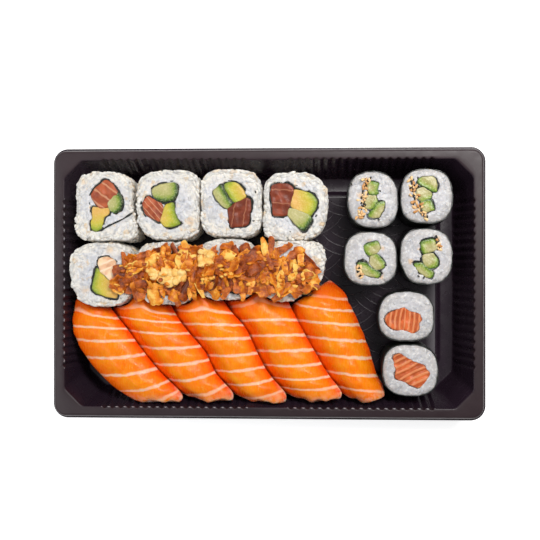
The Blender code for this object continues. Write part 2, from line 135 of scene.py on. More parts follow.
class Build:
    """Collects many small closed bodies into one mesh, with named values at the points."""

    def __init__(self):
        self.points = []
        self.faces = []
        self.values = {}
        self.count = 0

    def add(self, points, faces, **values):
        points = np.asarray(points, float)
        self.points.append(points)
        for rows in faces:
            self.faces.append(np.asarray(rows, np.int64) + self.count)
        for name in values:
            value = np.broadcast_to(np.asarray(values[name], float), (len(points),))
            self.values.setdefault(name, []).append(value)
        self.count += len(points)

    def finish(self, name, material, slot, replaced=(), smooth_angle=None):
        """Make the piece, let it ride on the root and hide the CAD parts that it replaces."""
        mesh = bpy.data.meshes.new(name)
        points = np.concatenate(self.points) * MM
        loops = np.concatenate([rows.ravel() for rows in self.faces])
        counts = np.concatenate([np.full(len(rows), rows.shape[1]) for rows in self.faces])
        mesh.vertices.add(len(points))
        mesh.vertices.foreach_set("co", points.ravel())
        mesh.loops.add(len(loops))
        mesh.loops.foreach_set("vertex_index", loops)
        mesh.polygons.add(len(counts))
        mesh.polygons.foreach_set("loop_start", np.cumsum(counts) - counts)
        mesh.update(calc_edges=True)
        mesh.shade_smooth()
        if smooth_angle is not None:
            mesh.set_sharp_from_angle(angle=math.radians(smooth_angle))
        for value_name, parts in self.values.items():
            layer = mesh.attributes.new(value_name, "FLOAT", "POINT")
            layer.data.foreach_set("value", np.concatenate(parts).astype(np.float32))
        mesh.materials.append(material)
        piece = bpy.data.objects.new(name, mesh)
        bpy.context.scene.collection.objects.link(piece)
        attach(piece, "root")
        if replaced:
            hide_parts(*replaced)


def ring_faces(rows, around):
    """Quads that join `rows` rings of `around` points each."""
    i = np.arange(rows - 1)[:, None] * around
    j = np.arange(around)[None]
    k = (j + 1) % around
    return np.stack((i + j, i + k, i + around + k, i + around + j), 2).reshape(-1, 4)


def cap_faces(first, around, middle, flip=False):
    """Triangles from a ring to one middle point."""
    j = first + np.arange(around)
    k = np.roll(j, -1)
    pair = (k, j) if flip else (j, k)
    return np.stack((*pair, np.full(around, middle)), 1)


def stacked(rings, first_end, last_end):
    """Points and faces of a closed body of rings, with one middle point in each end."""
    around = len(rings[0])
    points = np.concatenate((*rings, [last_end], [first_end]))
    last_cap = cap_faces((len(rings) - 1) * around, around, len(points) - 2)
    return points, [ring_faces(len(rings), around), last_cap, cap_faces(0, around, len(points) - 1, True)]


def bar_faces(rows, around):
    """Faces of a bar of rings, with one flat face on each end."""
    end = np.arange(around)[None]
    return [ring_faces(rows, around), end[:, ::-1], end + (rows - 1) * around]


# ---------------- materials


class Term:
    """A value in the nodes of a look, added, multiplied, stepped and coloured like a number."""

    def __init__(self, look, socket):
        self.look = look
        self.socket = socket

    def math(self, operation, first, second=0.0):
        return self.look.node("Math", "Value", {0: first, 1: second}, operation=operation)

    def __add__(self, other):
        return self.math("ADD", self, other)

    def __sub__(self, other):
        return self.math("SUBTRACT", self, other)

    def __rsub__(self, other):
        return self.math("SUBTRACT", other, self)

    def __mul__(self, other):
        return self.math("MULTIPLY", self, other)

    def __truediv__(self, other):
        return self.math("DIVIDE", self, other)

    def phase(self):
        """Distance to the nearest whole number."""
        share = self.math("FRACT", self + 0.5)
        return self.math("ABSOLUTE", share - 0.5)

    def step(self, low, high, out_low=0.0, out_high=1.0):
        """Smooth step between two limits."""
        inputs = {"Value": self, "From Min": low, "From Max": high, "To Min": out_low, "To Max": out_high}
        return self.look.node("MapRange", "Result", inputs, interpolation_type="SMOOTHSTEP")

    def ramp(self, *stops):
        """Colour from stops, each a place and a colour."""
        colour = self.look.node("ValToRGB", "Color", {"Fac": self})
        ramp = colour.socket.node.color_ramp
        while len(ramp.elements) < len(stops):
            ramp.elements.new(0.5)
        for element, (at, shade) in zip(ramp.elements, stops):
            element.position = at
            element.color = (*shade, 1.0)
        return colour


class Look:
    """A material with a Principled shader and short ways to add its texture nodes."""

    def __init__(self, name, **sockets):
        self.material = bpy.data.materials.new(name)
        self.material.use_nodes = True
        self.tree = self.material.node_tree
        self.set(**sockets)

    def node(self, kind, output, inputs, **settings):
        """One output of a new node, with the node's settings and inputs filled in."""
        made = self.tree.nodes.new("ShaderNode" + kind)
        for key, value in settings.items():
            setattr(made, key, value)
        for socket, value in inputs.items():
            self.feed(made.inputs[socket], value)
        return Term(self, made.outputs[output])

    def feed(self, socket, value):
        if isinstance(value, Term):
            self.tree.links.new(value.socket, socket)
        elif socket.type == "RGBA":
            socket.default_value = (*value, 1.0)
        else:
            socket.default_value = value

    def place(self, stretch=(1, 1, 1)):
        """Object position in millimetres, stretched."""
        position = self.node("TexCoord", "Object", {})
        return self.node("Mapping", "Vector", {"Vector": position, "Scale": [s / MM for s in stretch]})

    def noise(self, size, detail=2.0, roughness=0.5, stretch=(1, 1, 1)):
        inputs = {"Vector": self.place(stretch), "Scale": 1.0 / size, "Detail": detail}
        return self.node("TexNoise", "Fac", {**inputs, "Roughness": roughness})

    def cells(self, size):
        """Distance to the middle of the nearest of many cells."""
        return self.node("TexVoronoi", "Distance", {"Vector": self.place(), "Scale": 1.0 / size})

    def value(self, name):
        """A value that the mesh carries at its points."""
        return self.node("Attribute", "Fac", {}, attribute_name=name)

    def mix(self, factor, a, b):
        """Colour a turned into colour b by a factor; a mix node has its colours at 6 and 7 and gives 2."""
        return self.node("Mix", 2, {"Factor": factor, 6: a, 7: b}, data_type="RGBA")

    def bump(self, height, distance, strength, **before):
        """Bumps of a depth in millimetres, on top of the ones before them."""
        inputs = {"Height": height, "Distance": distance * MM, "Strength": strength}
        return self.node("Bump", "Normal", {**inputs, **before})

    def let_in(self, weight, scale, radius):
        """Light passes a little way into the food, in metres, and comes out tinted."""
        self.set(Subsurface_Weight=weight, Subsurface_Scale=scale, Subsurface_Radius=radius)

    def set(self, **sockets):
        shader = self.tree.nodes["Principled BSDF"]
        for socket, value in sockets.items():
            self.feed(shader.inputs[socket.replace("_", " ")], value)
        return self.material


def faded(colour, share):
    """A colour made darker, or lighter up to white, by a share."""
    return tuple(min(share * c, 1.0) for c in colour)


def rice_look(name, outer, inner, soft, grainy, shade_patch_size):
    """Cooked rice: creamy towards the outside of a roll, cooler grey towards its filling as painted shade;
    grey patches and the gaps between grains are painted shade too, and white flecks are painted highlights.
    """
    look = Look(name, Roughness=0.45, Specular_IOR_Level=0.35)
    look.let_in(soft, 0.002, (1.0, 0.85, 0.7))
    rim = look.value("rim") + (look.noise(6.0) - 0.5) * 0.9
    colour = look.mix(rim.step(0.15, 0.85), inner, outer)
    stain = look.noise(5.0, stretch=(1, 1, 0.35)).step(0.61, 0.71, 0.0, 0.8)
    colour = look.mix(stain * look.value("stain"), colour, (0.82, 0.54, 0.24))
    # Painted highlights: white flecks where lumps of rice catch the light.
    colour = look.mix(look.noise(1.5, 3.0, 0.55).step(0.46, 0.68, 0.0, 0.5), colour, (0.93, 0.92, 0.9))
    # Painted shade: soft grey patches of a darker inner colour.
    painted_shade_patches = look.noise(shade_patch_size, 3.0, 0.6, stretch=(1, 1, 0.4)).step(0.5, 0.3, 0.0, 0.5)
    colour = look.mix(painted_shade_patches, colour, faded(inner, 0.58))
    colour = look.mix(look.value("tint"), colour, (0.78, 0.48, 0.2))
    colour = look.mix(look.value("shade") * 0.16, colour, (0.55, 0.55, 0.55))
    # Single grains packed side by side, with painted shade in the gaps between them.
    packed = look.cells(2.4)
    colour = look.mix(packed.step(0.4, 0.75, 0.0, 0.3 * grainy), colour, faded(inner, 0.55))
    normal = look.bump(packed * -1.0, 0.6 * grainy, 0.6)
    normal = look.bump(look.noise(0.7, 3.0, 0.6), 0.1, 0.5, Normal=normal)
    return look.set(Base_Color=colour, Normal=normal)


def tray_look():
    """Dark moulded plastic, lighter and redder on the rim; the darker inside is painted shade from the walls
    and food. It shines less on the rim, and painted glints light the flute ends, the platform's right brow
    and the wave ridges.
    """
    look = Look("tray_plastic", Specular_IOR_Level=0.34)
    up = look.node("SeparateXYZ", "Z", {0: look.place()})
    rim = up.step(21.0, 27.6) * look.value("rim")
    # Painted shade: the inside of the tray is darker than the rim, though the plastic is the same.
    deep = look.noise(26.0, 3.0, 0.6).ramp((0.3, (0.0155, 0.0085, 0.015)), (0.75, (0.025, 0.0145, 0.024)))
    top = look.noise(14.0, 4.0, 0.6).ramp((0.3, (0.0225, 0.012, 0.015)), (0.75, (0.0305, 0.0165, 0.0205)))
    colour = look.mix(rim, deep, top)
    # Painted highlights: glints at the flute ends, the brow and the wave ridges turn the plastic pale grey.
    colour = look.mix(look.value("tip") * 0.85, colour, (0.42, 0.4, 0.42))
    rough = look.noise(9.0, 4.0, 0.65).step(0.3, 0.8, 0.22, 0.36) + rim * 0.14
    grain = look.bump(look.noise(0.35), 0.02, 0.35)
    wave = look.bump(look.noise(22.0, 1.0), 0.5, 0.25, Normal=grain)
    return look.set(Base_Color=colour, Roughness=rough, Normal=wave)


def salmon_look():
    """Raw salmon: orange flesh between pale lines of fat, deeper red at its flanks, head and tail. Painted
    shade darkens the left flank, head and tail, the right flank is painted redder for light glowing through
    the thin flesh, and pale painted highlights streak the crest.
    """
    look = Look("salmon_slice", Specular_IOR_Level=0.17)
    look.let_in(0.80, 0.0032, (0.8, 0.42, 0.15))
    band = look.value("band")
    across = look.value("across")
    deep = look.value("deep")
    phase = (band + (look.noise(4.0, 3.0) - 0.5) * 0.16).phase()
    width = (look.noise(5.0) - 0.5) * 0.1 + 0.02 + across.step(0.2, 0.8, 0.0, 0.022)
    fat = 1.0 - phase.step(width, width + 0.095)
    halo = 1.0 - phase.step(0.05, 0.26)
    fibre = look.noise(1.0, 3.0, 0.6, stretch=(1.9, 0.2, 0.2))
    stops = (0.28, (0.94, 0.19, 0.002)), (0.5, (0.96, 0.26, 0.003)), (0.72, (0.975, 0.33, 0.006))
    colour = look.noise(9.0, 3.0, 0.55).ramp(*stops)
    colour = look.mix(fibre.step(0.48, 0.74, 0.0, 0.3), colour, (0.98, 0.4, 0.02))
    colour = look.mix(fibre.step(0.5, 0.26, 0.0, 0.3), colour, (0.9, 0.15, 0.004))
    # Painted highlight: pale streaks along the fibres over the crest, where the lamp shines on the wet flesh.
    painted_highlight_streak = look.noise(1.0, 3.0, 0.65, (1.5, 0.26, 0.26)).step(0.54, 0.7) * look.noise(7.0).step(0.46, 0.62)
    crest = across.step(0.36, 0.52) * across.step(0.86, 0.7)
    colour = look.mix(painted_highlight_streak * crest * 0.5, colour, (0.99, 0.58, 0.17))
    colour = look.mix(halo * 0.22, colour, (0.98, 0.36, 0.02))
    # Painted shade: the left flank, tucked under the slice beside it, turns deep red. The right flank and its
    # edge are painted redder, standing in for light glowing through the thin flesh.
    colour = look.mix(across.step(0.36, 0.06, 0.0, 0.92), colour, (0.87, 0.066, 0.0003))
    colour = look.mix(across.step(0.72, 1.0, 0.0, 0.75), colour, (0.95, 0.125, 0.003))
    colour = look.mix(across.step(0.86, 0.97, 0.0, 0.7), colour, (0.93, 0.06, 0.003))
    # Deeper red at the head and tail: partly the flesh's own colour, partly painted shade.
    colour = look.mix(deep * 0.75, colour, (0.7, 0.06, 0.004))
    fat = fat * across.step(0.0, 0.32, 0.45, 0.92) * deep.step(0.0, 0.8, 1.0, 0.3)
    fat = fat * look.noise(3.0, 3.0, 0.6).step(0.25, 0.5, 0.72, 1.0)
    colour = look.mix(fat, colour, (1.0, 0.6, 0.43))
    pale = look.value("pale") * look.noise(2.4, 3.0, 0.6).step(0.3, 0.62)
    colour = look.mix(pale, colour, (0.92, 0.5, 0.33))
    rough = look.noise(1.4, 3.0, 0.6, stretch=(1.6, 0.4, 0.4)).step(0.3, 0.7, 0.16, 0.34)
    normal = look.bump(look.noise(1.0, 3.0, 0.65, stretch=(1.7, 0.22, 0.22)), 0.22, 0.5)
    normal = look.bump(look.noise(2.6), 0.25, 0.35, Normal=normal)
    return look.set(Base_Color=colour, Roughness=rough, Normal=normal)


def filling_salmon_look(name, dark, light, line, softness):
    """Fish cut across, with soft lines of fat."""
    look = Look(name, Roughness=0.36, Specular_IOR_Level=0.28)
    look.let_in(0.2, 0.002, (1.0, 0.45, 0.25))
    band = look.value("band") + (look.noise(3.0) - 0.5) * 0.3
    phase = band.phase()
    fat = 1.0 - phase.step(softness * 0.3, softness)
    colour = look.noise(3.0, 3.0, 0.6).ramp((0.3, dark), (0.7, light))
    patch = look.noise(6.0, 1.0)
    colour = look.mix(patch.step(0.5, 0.66, 0.0, 0.55), colour, faded(light, 1.5))
    colour = look.mix(patch.step(0.48, 0.34, 0.0, 0.4), colour, faded(dark, 0.7))
    colour = look.mix(fat * look.value("fatty"), colour, line)
    # Painted shade: darker towards the edge of the strip, where it meets the rice.
    colour = look.mix(look.value("edge").step(0.9, 0.0, 0.0, 0.2), colour, faded(dark, 0.6))
    normal = look.bump(look.noise(1.2, 3.0, 0.6), 0.25, 0.6)
    return look.set(Base_Color=colour, Normal=normal)


def skin_look(name, stops, roughness, speck):
    """Colour by the distance from the skin side, in millimetres of 0 to 12."""
    look = Look(name, Roughness=roughness, Specular_IOR_Level=0.4)
    look.let_in(0.2, 0.002, (0.8, 0.8, 0.4))
    distance = look.value("skin") / 12.0 + (look.noise(2.0, 3.0, 0.6) - 0.5) * 0.16
    colour = distance.ramp(*stops)
    colour = look.mix(look.noise(0.9, 3.0, 0.6).step(0.45, 0.75, 0.0, speck), colour, (0.88, 0.8, 0.5))
    # Painted shade: darker towards the edge of the strip, where it meets the rice.
    colour = look.mix(look.value("edge").step(0.7, 0.0, 0.0, 0.3), colour, faded(stops[1][1], 0.35))
    normal = look.bump(look.noise(1.1, 3.0, 0.6), 0.3, 0.7)
    return look.set(Base_Color=colour, Normal=normal)


def nori_look():
    """Dark green, almost black seaweed with a fine rough grain."""
    look = Look("nori", Roughness=0.36, Specular_IOR_Level=0.5)
    colour = look.noise(1.4, 4.0, 0.65).ramp((0.35, (0.004, 0.006, 0.005)), (0.75, (0.016, 0.02, 0.015)))
    normal = look.bump(look.noise(0.8, 3.0, 0.7), 0.15, 0.8)
    return look.set(Base_Color=colour, Normal=normal)


def onion_look(name, stops):
    """Fried onion or batter: colour by tone, with darker scorched spots."""
    look = Look(name, Roughness=0.34, Specular_IOR_Level=0.42)
    look.let_in(0.15, 0.0015, (1.0, 0.5, 0.2))
    tone = look.value("tone") + (look.noise(1.8, 4.0, 0.6) - 0.5) * 0.95
    colour = tone.ramp(*stops)
    scorched = look.noise(1.3, 4.0, 0.7).step(0.6, 0.78, 0.0, 0.55)
    colour = look.mix(scorched, colour, faded(stops[1][1], 0.3))
    normal = look.bump(look.noise(0.9, 4.0, 0.7), 0.4, 0.9)
    return look.set(Base_Color=colour, Normal=normal)


def seed_look(name, low, high):
    """Small seeds or specks, each with its own tone."""
    look = Look(name, Roughness=0.4)
    colour = (look.value("tone") + look.noise(0.8) * 0.3).ramp((0.1, low), (1.0, high))
    return look.set(Base_Color=colour, Normal=look.bump(look.noise(0.4), 0.08, 0.6))


# ---------------- tray

PLATFORM_TOP = (93.2, 48.4)
PLATFORM_SHOULDER = (94.9, 50.1)
PLATFORM_FOOT = (96.4, 51.6)
PLATFORM_INNER = (88.0, 43.2)
PLATFORM_HEIGHT = 4.0
WALL_FOOT = (103.7, 59.0)
WALL_START = (104.6, 60.0)
WALL_TOP = (110.7, 67.0)
RIM_START = (112.3, 68.5)
LAND = (115.3, 71.3)
RIM_HEIGHT = 28.0
SHEET = 0.8
FLUTE_START = SHEET + 3.4
PLATFORM_CUT = 8.0
WALL_CUT = 9.5
FLUTE_PITCH = 4.45
FLUTE_DEPTH = 0.9
FLUTE_MARGIN = 0.4
FLUTE = ((0.0, 0.0), (0.13, 0.04), (0.26, 0.38), (0.38, 0.80), (0.50, 1.0), (0.62, 0.80), (0.74, 0.38),
         (0.87, 0.04))
SHORT_FLUTES = 21
SHORT_RUN = SHORT_FLUTES * FLUTE_PITCH
LONG_FLUTES = 18
LONG_RUN = LONG_FLUTES * FLUTE_PITCH
LONG_CLEAR = 10.7
CORNER_POINTS = 14
CORNER_SOFT = 1.5  # how far the rounding of the cut corners reaches along the walls
LONG_REACH = WALL_FOOT[0] - WALL_CUT - CORNER_SOFT
SHORT_REACH = WALL_FOOT[1] - WALL_CUT - CORNER_SOFT


def grown(half, by):
    """Half sizes larger all round."""
    return half[0] + by, half[1] + by


def side_places(reach, *runs):
    """Places along a wall from end to end, each with the depth share of the flutes there."""
    places = [(-reach, 0.0)]
    for start, count in runs:
        end = start + count * FLUTE_PITCH
        places.append((start - FLUTE_MARGIN, 0.0))
        places += [(start + (i + share) * FLUTE_PITCH, depth) for i in range(count) for share, depth in FLUTE]
        places += [(end, 0.0), (end + FLUTE_MARGIN, 0.0)]
    return np.array(places + [(reach, 0.0)])


LONG_PLACES = side_places(LONG_REACH, (-LONG_CLEAR - LONG_RUN, LONG_FLUTES), (LONG_CLEAR, LONG_FLUTES))
SHORT_PLACES = side_places(SHORT_REACH, (-SHORT_RUN / 2, SHORT_FLUTES))


def corner_path(half, chamfer, soft, round_share, radius):
    """The corner from the back side to the right side: a cut with soft ends, an arc or something between."""
    shares = np.linspace(0, 1, CORNER_POINTS + 2)[1:-1]
    a = np.array((half[0] - chamfer, half[1]))
    b = np.array((half[0], half[1] - chamfer))
    inwards = unit(b - a) * soft
    start = a - np.array((soft, 0.0))
    end = b - np.array((0.0, soft))
    knots = (start, a * 0.75 + (start + inwards) * 0.25, a + inwards, b - inwards,
             b * 0.75 + (end - inwards) * 0.25, end)
    centre = np.array((half[0] - radius, half[1] - radius))
    turn = np.linspace(np.pi / 2, 0, 24)
    arc = centre + radius * np.stack((np.cos(turn), np.sin(turn)), 1)
    curved = along(np.concatenate(([start], arc, [end])), shares)
    return along(np.array(knots), shares) * (1 - round_share) + curved * round_share


def tray_ring(hx, hy, z, chamfer, flute, round_share, radius):
    """One ring of the tray, clockwise from the left end of the back side."""
    soft = CORNER_SOFT * min((hx - chamfer) / (WALL_FOOT[0] - WALL_CUT), 1.1)
    corner = corner_path((hx, hy), chamfer, soft, round_share, radius)

    def side(places, reach):
        inner = places[1:-1, 0] * min(1.0, reach / places[-1, 0])
        return np.concatenate(([-reach], inner, [reach])), places[:, 1] * FLUTE_DEPTH * flute

    x, dx = side(LONG_PLACES, hx - chamfer - soft)
    y, dy = side(SHORT_PLACES, hy - chamfer - soft)
    back = np.stack((x, hy + dx), 1)
    right = np.stack((hx + dy, y), 1)[::-1]
    front = np.stack((x, -hy - dx), 1)[::-1]
    left = np.stack((-hx - dy, y), 1)
    sides = (back, corner, right, corner[::-1] * (1, -1), front, -corner, left, corner[::-1] * (-1, 1))
    return raised(np.concatenate(sides), z)


def painted_glint_mask(points):
    """Painted highlights on the sheet: glints at the ends of the flutes in the left and front walls, and a
    highlight line along the platform's right brow.
    """
    x, y, z = points.T
    depth_x = np.abs(x) - WALL_TOP[0]
    depth_y = np.abs(y) - WALL_TOP[1]
    long_place = np.abs(x) - LONG_CLEAR
    left = (x < 0) & (np.abs(depth_x) < 0.16) & (np.abs(y) < SHORT_RUN / 2)
    front = (y < 0) & (np.abs(depth_y) < 0.16) & (long_place > 0) & (long_place < LONG_RUN)
    tip = np.where((np.abs(z - 27.7) < 0.28) & (left | front), 1.0, 0.0)
    brow = (x > PLATFORM_TOP[0] - 0.6) & (x < PLATFORM_TOP[0] + 0.2)
    tip[brow & (z > PLATFORM_HEIGHT - 0.15) & (z < PLATFORM_HEIGHT + 0.01)] = 0.30
    return tip


def build_tray():
    """The moulded sheet with rounded edges: platform, channel, fluted wall, rim and skirt."""
    wall_slope = (WALL_TOP[0] - WALL_FOOT[0]) / (RIM_HEIGHT - SHEET)
    under = SHEET * math.hypot(1.0, wall_slope) - wall_slope * SHEET
    low = PLATFORM_HEIGHT - SHEET
    # Each station: half sizes, height, corner cut, flute share, how round its corners are, corner radius,
    # and how far the fillet at it reaches.
    stations = (
        (*PLATFORM_INNER, PLATFORM_HEIGHT, PLATFORM_CUT, 0, 0, 5, 0.0),
        (*PLATFORM_TOP, PLATFORM_HEIGHT, PLATFORM_CUT, 0, 0, 5, 0.5),
        (*PLATFORM_SHOULDER, 3.4, PLATFORM_CUT, 0, 0, 5, 0.5),
        (*PLATFORM_FOOT, SHEET, PLATFORM_CUT, 0, 0, 5, 0.9),
        (*WALL_FOOT, SHEET, WALL_CUT, 0, 0, 5, 1.0),
        (*WALL_START, FLUTE_START, WALL_CUT, 1, 0, 5, 0.6),
        (*WALL_TOP, RIM_HEIGHT, WALL_CUT, 1, 0, 5, 0.7),
        (*RIM_START, RIM_HEIGHT, 9.0, 0, 0.3, 5, 0.0),
        (*LAND, RIM_HEIGHT, 6.0, 0, 1, 5.3, 0.6),
        (116.2, 72.2, 27.2, 6.0, 0, 1, 6.2, 0.4),
        (117.2, 73.2, 22.8, 6.0, 0, 1, 7.2, 0.25),
        (118.0, 74.0, 22.8, 6.0, 0, 1, 8.0, 0.18),
        (118.0, 74.0, 22.0, 6.0, 0, 1, 8.0, 0.18),
        (116.4, 72.4, 22.0, 6.0, 0, 1, 6.4, 0.2),
        (115.4, 71.4, 26.8, 6.0, 0, 1, 5.4, 0.3),
        (114.9, 70.9, 27.2, 6.0, 0, 1, 4.9, 0.3),
        (*grown(WALL_TOP, under), RIM_HEIGHT - SHEET, WALL_CUT, 1, 0, 5, 0.3),
        (*grown(WALL_START, under), FLUTE_START, WALL_CUT, 1, 0, 5, 0.3),
        (*grown(WALL_FOOT, under), 0.0, WALL_CUT, 0, 0, 5, 0.5),
        (*grown(PLATFORM_FOOT, -0.5), 0.0, PLATFORM_CUT, 0, 0, 5, 0.5),
        (*grown(PLATFORM_SHOULDER, -0.8), 2.6, PLATFORM_CUT, 0, 0, 5, 0.3),
        (*grown(PLATFORM_TOP, -0.3), low, PLATFORM_CUT, 0, 0, 5, 0.3),
        (*PLATFORM_INNER, low, PLATFORM_CUT, 0, 0, 5, 0.0),
    )
    data = np.array(stations, float)
    rows = [data[0, :7]]
    for before, here, after in zip(data, data[1:], data[2:]):
        reach = here[7]
        here = here[:7]
        if reach <= 0:
            rows.append(here)
            continue
        ends = []
        for other in (before[:7], after[:7]):
            away = np.linalg.norm(other[:3] - here[:3])
            ends.append(here + (other - here) * min(reach / away, 0.45))
        for t in (0.0, 0.3, 0.6, 1.0) if reach > 0.4 else (0.0, 0.5, 1.0):
            rows.append((1 - t) ** 2 * ends[0] + 2 * t * (1 - t) * here + t * t * ends[1])
    rows.append(data[-1, :7])
    rings = [tray_ring(*row) for row in rows]
    around = len(rings[0])
    points = np.concatenate((*rings, [(0, 0, PLATFORM_HEIGHT), (0, 0, low)]))
    top_cap = cap_faces(0, around, len(points) - 2, True)
    low_cap = cap_faces((len(rings) - 1) * around, around, len(points) - 1)
    faces = [ring_faces(len(rings), around)[:, ::-1], top_cap, low_cap]
    x, y = np.abs(points[:, 0]), np.abs(points[:, 1])
    outside = slope(np.maximum(x - 110.9, y - 67.2), -0.4, 0.4)
    build = Build()
    build.add(points, faces, rim=np.maximum(outside, slope(x + y, 168.0, 168.8)), tip=painted_glint_mask(points))
    return build


WAVE_RADIUS = 22.3
WAVE_STEP = 4.8
WAVE_AT = (44.5, 38.0)
WAVE_PROFILE = ((-0.42, -0.06), (-0.28, 0.18), (-0.10, 0.34), (0.10, 0.34), (0.28, 0.18), (0.42, -0.06))


def add_ridge(build, line, centre):
    """One raised arc, lower and thinner towards its ends."""
    out = unit(line - centre)
    place = np.arange(len(line))
    size = np.clip(np.minimum(place, place[::-1]) / 3.0, 0.15, 1.0)
    rows = [raised(line + out * (width * size)[:, None], PLATFORM_HEIGHT + height * size)
            for width, height in WAVE_PROFILE]
    faces = bar_faces(len(line), len(rows))
    # Each ridge carries a faint painted highlight along its length.
    build.add(np.stack(rows, 1).reshape(-1, 3), faces, rim=0.0, tip=0.17)


def build_waves():
    """Overlapping rows of concentric arcs, a traditional wave pattern, raised a little on the platform."""
    build = Build()
    centres = [(WAVE_AT[0] + WAVE_RADIUS * (row % 2 + 2 * column), WAVE_AT[1] + row * WAVE_RADIUS / 2, row)
               for row in range(-9, 4) for column in range(-4, 4)]
    edge = PLATFORM_TOP[0] + PLATFORM_TOP[1] - PLATFORM_CUT - 2.5
    for cx, cy, row in centres:
        for ring in range(4):
            radius = WAVE_RADIUS - ring * WAVE_STEP
            angle = np.linspace(-np.pi, 0, max(int(radius * 3.2), 12))
            line = np.stack((cx + radius * np.cos(angle), cy + radius * np.sin(angle)), 1)
            x, y = np.abs(line).T
            shown = (x < PLATFORM_TOP[0] - 1.7) & (y < PLATFORM_TOP[1] - 1.7) & (x + y < edge)
            for ox, oy, other in centres:
                if 0 < other - row <= 2:
                    shown &= np.hypot(line[:, 0] - ox, line[:, 1] - oy) > WAVE_RADIUS + 0.2
            starts = np.flatnonzero(shown & ~np.concatenate(([False], shown[:-1])))
            ends = np.flatnonzero(shown & ~np.concatenate((shown[1:], [False])))
            for first, last in zip(starts, ends):
                if last - first >= 3:
                    add_ridge(build, line[first:last + 1], (cx, cy))
    return build


tray_material = tray_look()
build_tray().finish("tray_shell", tray_material, "tray", ["tray"], 50)
build_waves().finish("tray_wave_ridges", tray_material, "tray")

# ---------------- roll shapes


BACK_ROW = [f"uramaki_{number}" for number in range(1, 5)]
SECOND_ROW = [f"uramaki_{number}" for number in range(5, 9)]
THIN_ROLLS = [f"hosomaki_cucumber_{number}" for number in range(1, 5)]
THIN_ROLLS += [f"hosomaki_salmon_{number}" for number in (1, 2)]
ROLL_POINTS = 72


class Roll:
    """The outline of a CAD roll at any height, read from its node."""

    def __init__(self, node):
        points = node_points(node)
        heights = np.unique(points[:, 2].round(2))
        self.low = heights[0]
        self.top = heights[-1]
        self.heights = []
        self.centres = []
        self.radii = []
        for height in heights:
            ring = np.unique(points[np.abs(points[:, 2] - height) < 0.02][:, :2].round(3), axis=0)
            if len(ring) < 20:
                continue
            centre = (ring.max(0) + ring.min(0)) / 2
            angle = np.arctan2(ring[:, 1] - centre[1], ring[:, 0] - centre[0])
            order = angle.argsort()
            radius = np.hypot(ring[:, 0] - centre[0], ring[:, 1] - centre[1])[order]
            steps = np.linspace(-np.pi, np.pi, ROLL_POINTS + 1)[:-1]
            self.heights.append(height)
            self.centres.append(centre)
            self.radii.append(np.interp(steps, angle[order], radius, period=TAU))
        self.centres = np.array(self.centres)
        self.radii = np.array(self.radii)
        # The uncovered rolls have fuller corners than their CAD outline, and the second row bulges back
        # against them.
        if node in BACK_ROW:
            corners = np.sin(2 * steps) ** 4
            if node == "uramaki_4":
                corners[np.cos(steps) > 0] = 0.0
            self.radii = self.radii * (1 + 0.050 * corners)
        if node in SECOND_ROW:
            self.radii = self.radii * (1 + 0.065 * np.clip(np.sin(steps), 0, 1) ** 2)
        # A light smoothing takes the corners of the coarse outline away.
        for _ in range(2):
            self.radii = 0.5 * self.radii + 0.25 * (np.roll(self.radii, 1, 1) + np.roll(self.radii, -1, 1))

    def middle(self):
        return self.centres[-2]

    def radius(self, angle, z):
        """Distance from the roll's middle line to its side at an angle and height."""
        z = np.asarray(z, float)
        row = np.interp(z, self.heights, np.arange(len(self.heights)))
        low = np.minimum(row.astype(int), len(self.heights) - 2)
        share = row - low
        column = (np.asarray(angle) + np.pi) % TAU / TAU * ROLL_POINTS
        left = column.astype(int) % ROLL_POINTS
        right = (left + 1) % ROLL_POINTS
        turn = column - column.astype(int)

        def at(level):
            return self.radii[level, left] * (1 - turn) + self.radii[level, right] * turn

        return at(low) * (1 - share) + at(low + 1) * share

    def centre(self, z):
        return np.stack([np.interp(z, self.heights, self.centres[:, k]) for k in (0, 1)], -1)

    def side(self, angle, z, inset):
        """Points on the side at angles and heights, pushed inwards."""
        r = self.radius(angle, z) - inset
        c = self.centre(z)
        return np.column_stack((c[..., 0] + r * np.cos(angle), c[..., 1] + r * np.sin(angle), z))

    def outline(self, z, inset, steps=ROLL_POINTS):
        angle = np.linspace(-np.pi, np.pi, steps + 1)[:-1]
        return self.side(angle, np.full(steps, z), inset)


CUT_RELIEF = 0.16
HOLE_DEPTH = 2.2


def gap_width(points, growth, seed):
    """How far the rice stands back from a filling: wide here, nothing there."""
    return growth - 0.10 + noise(points * (1, 1, 0), 4.0, seed) * 0.95


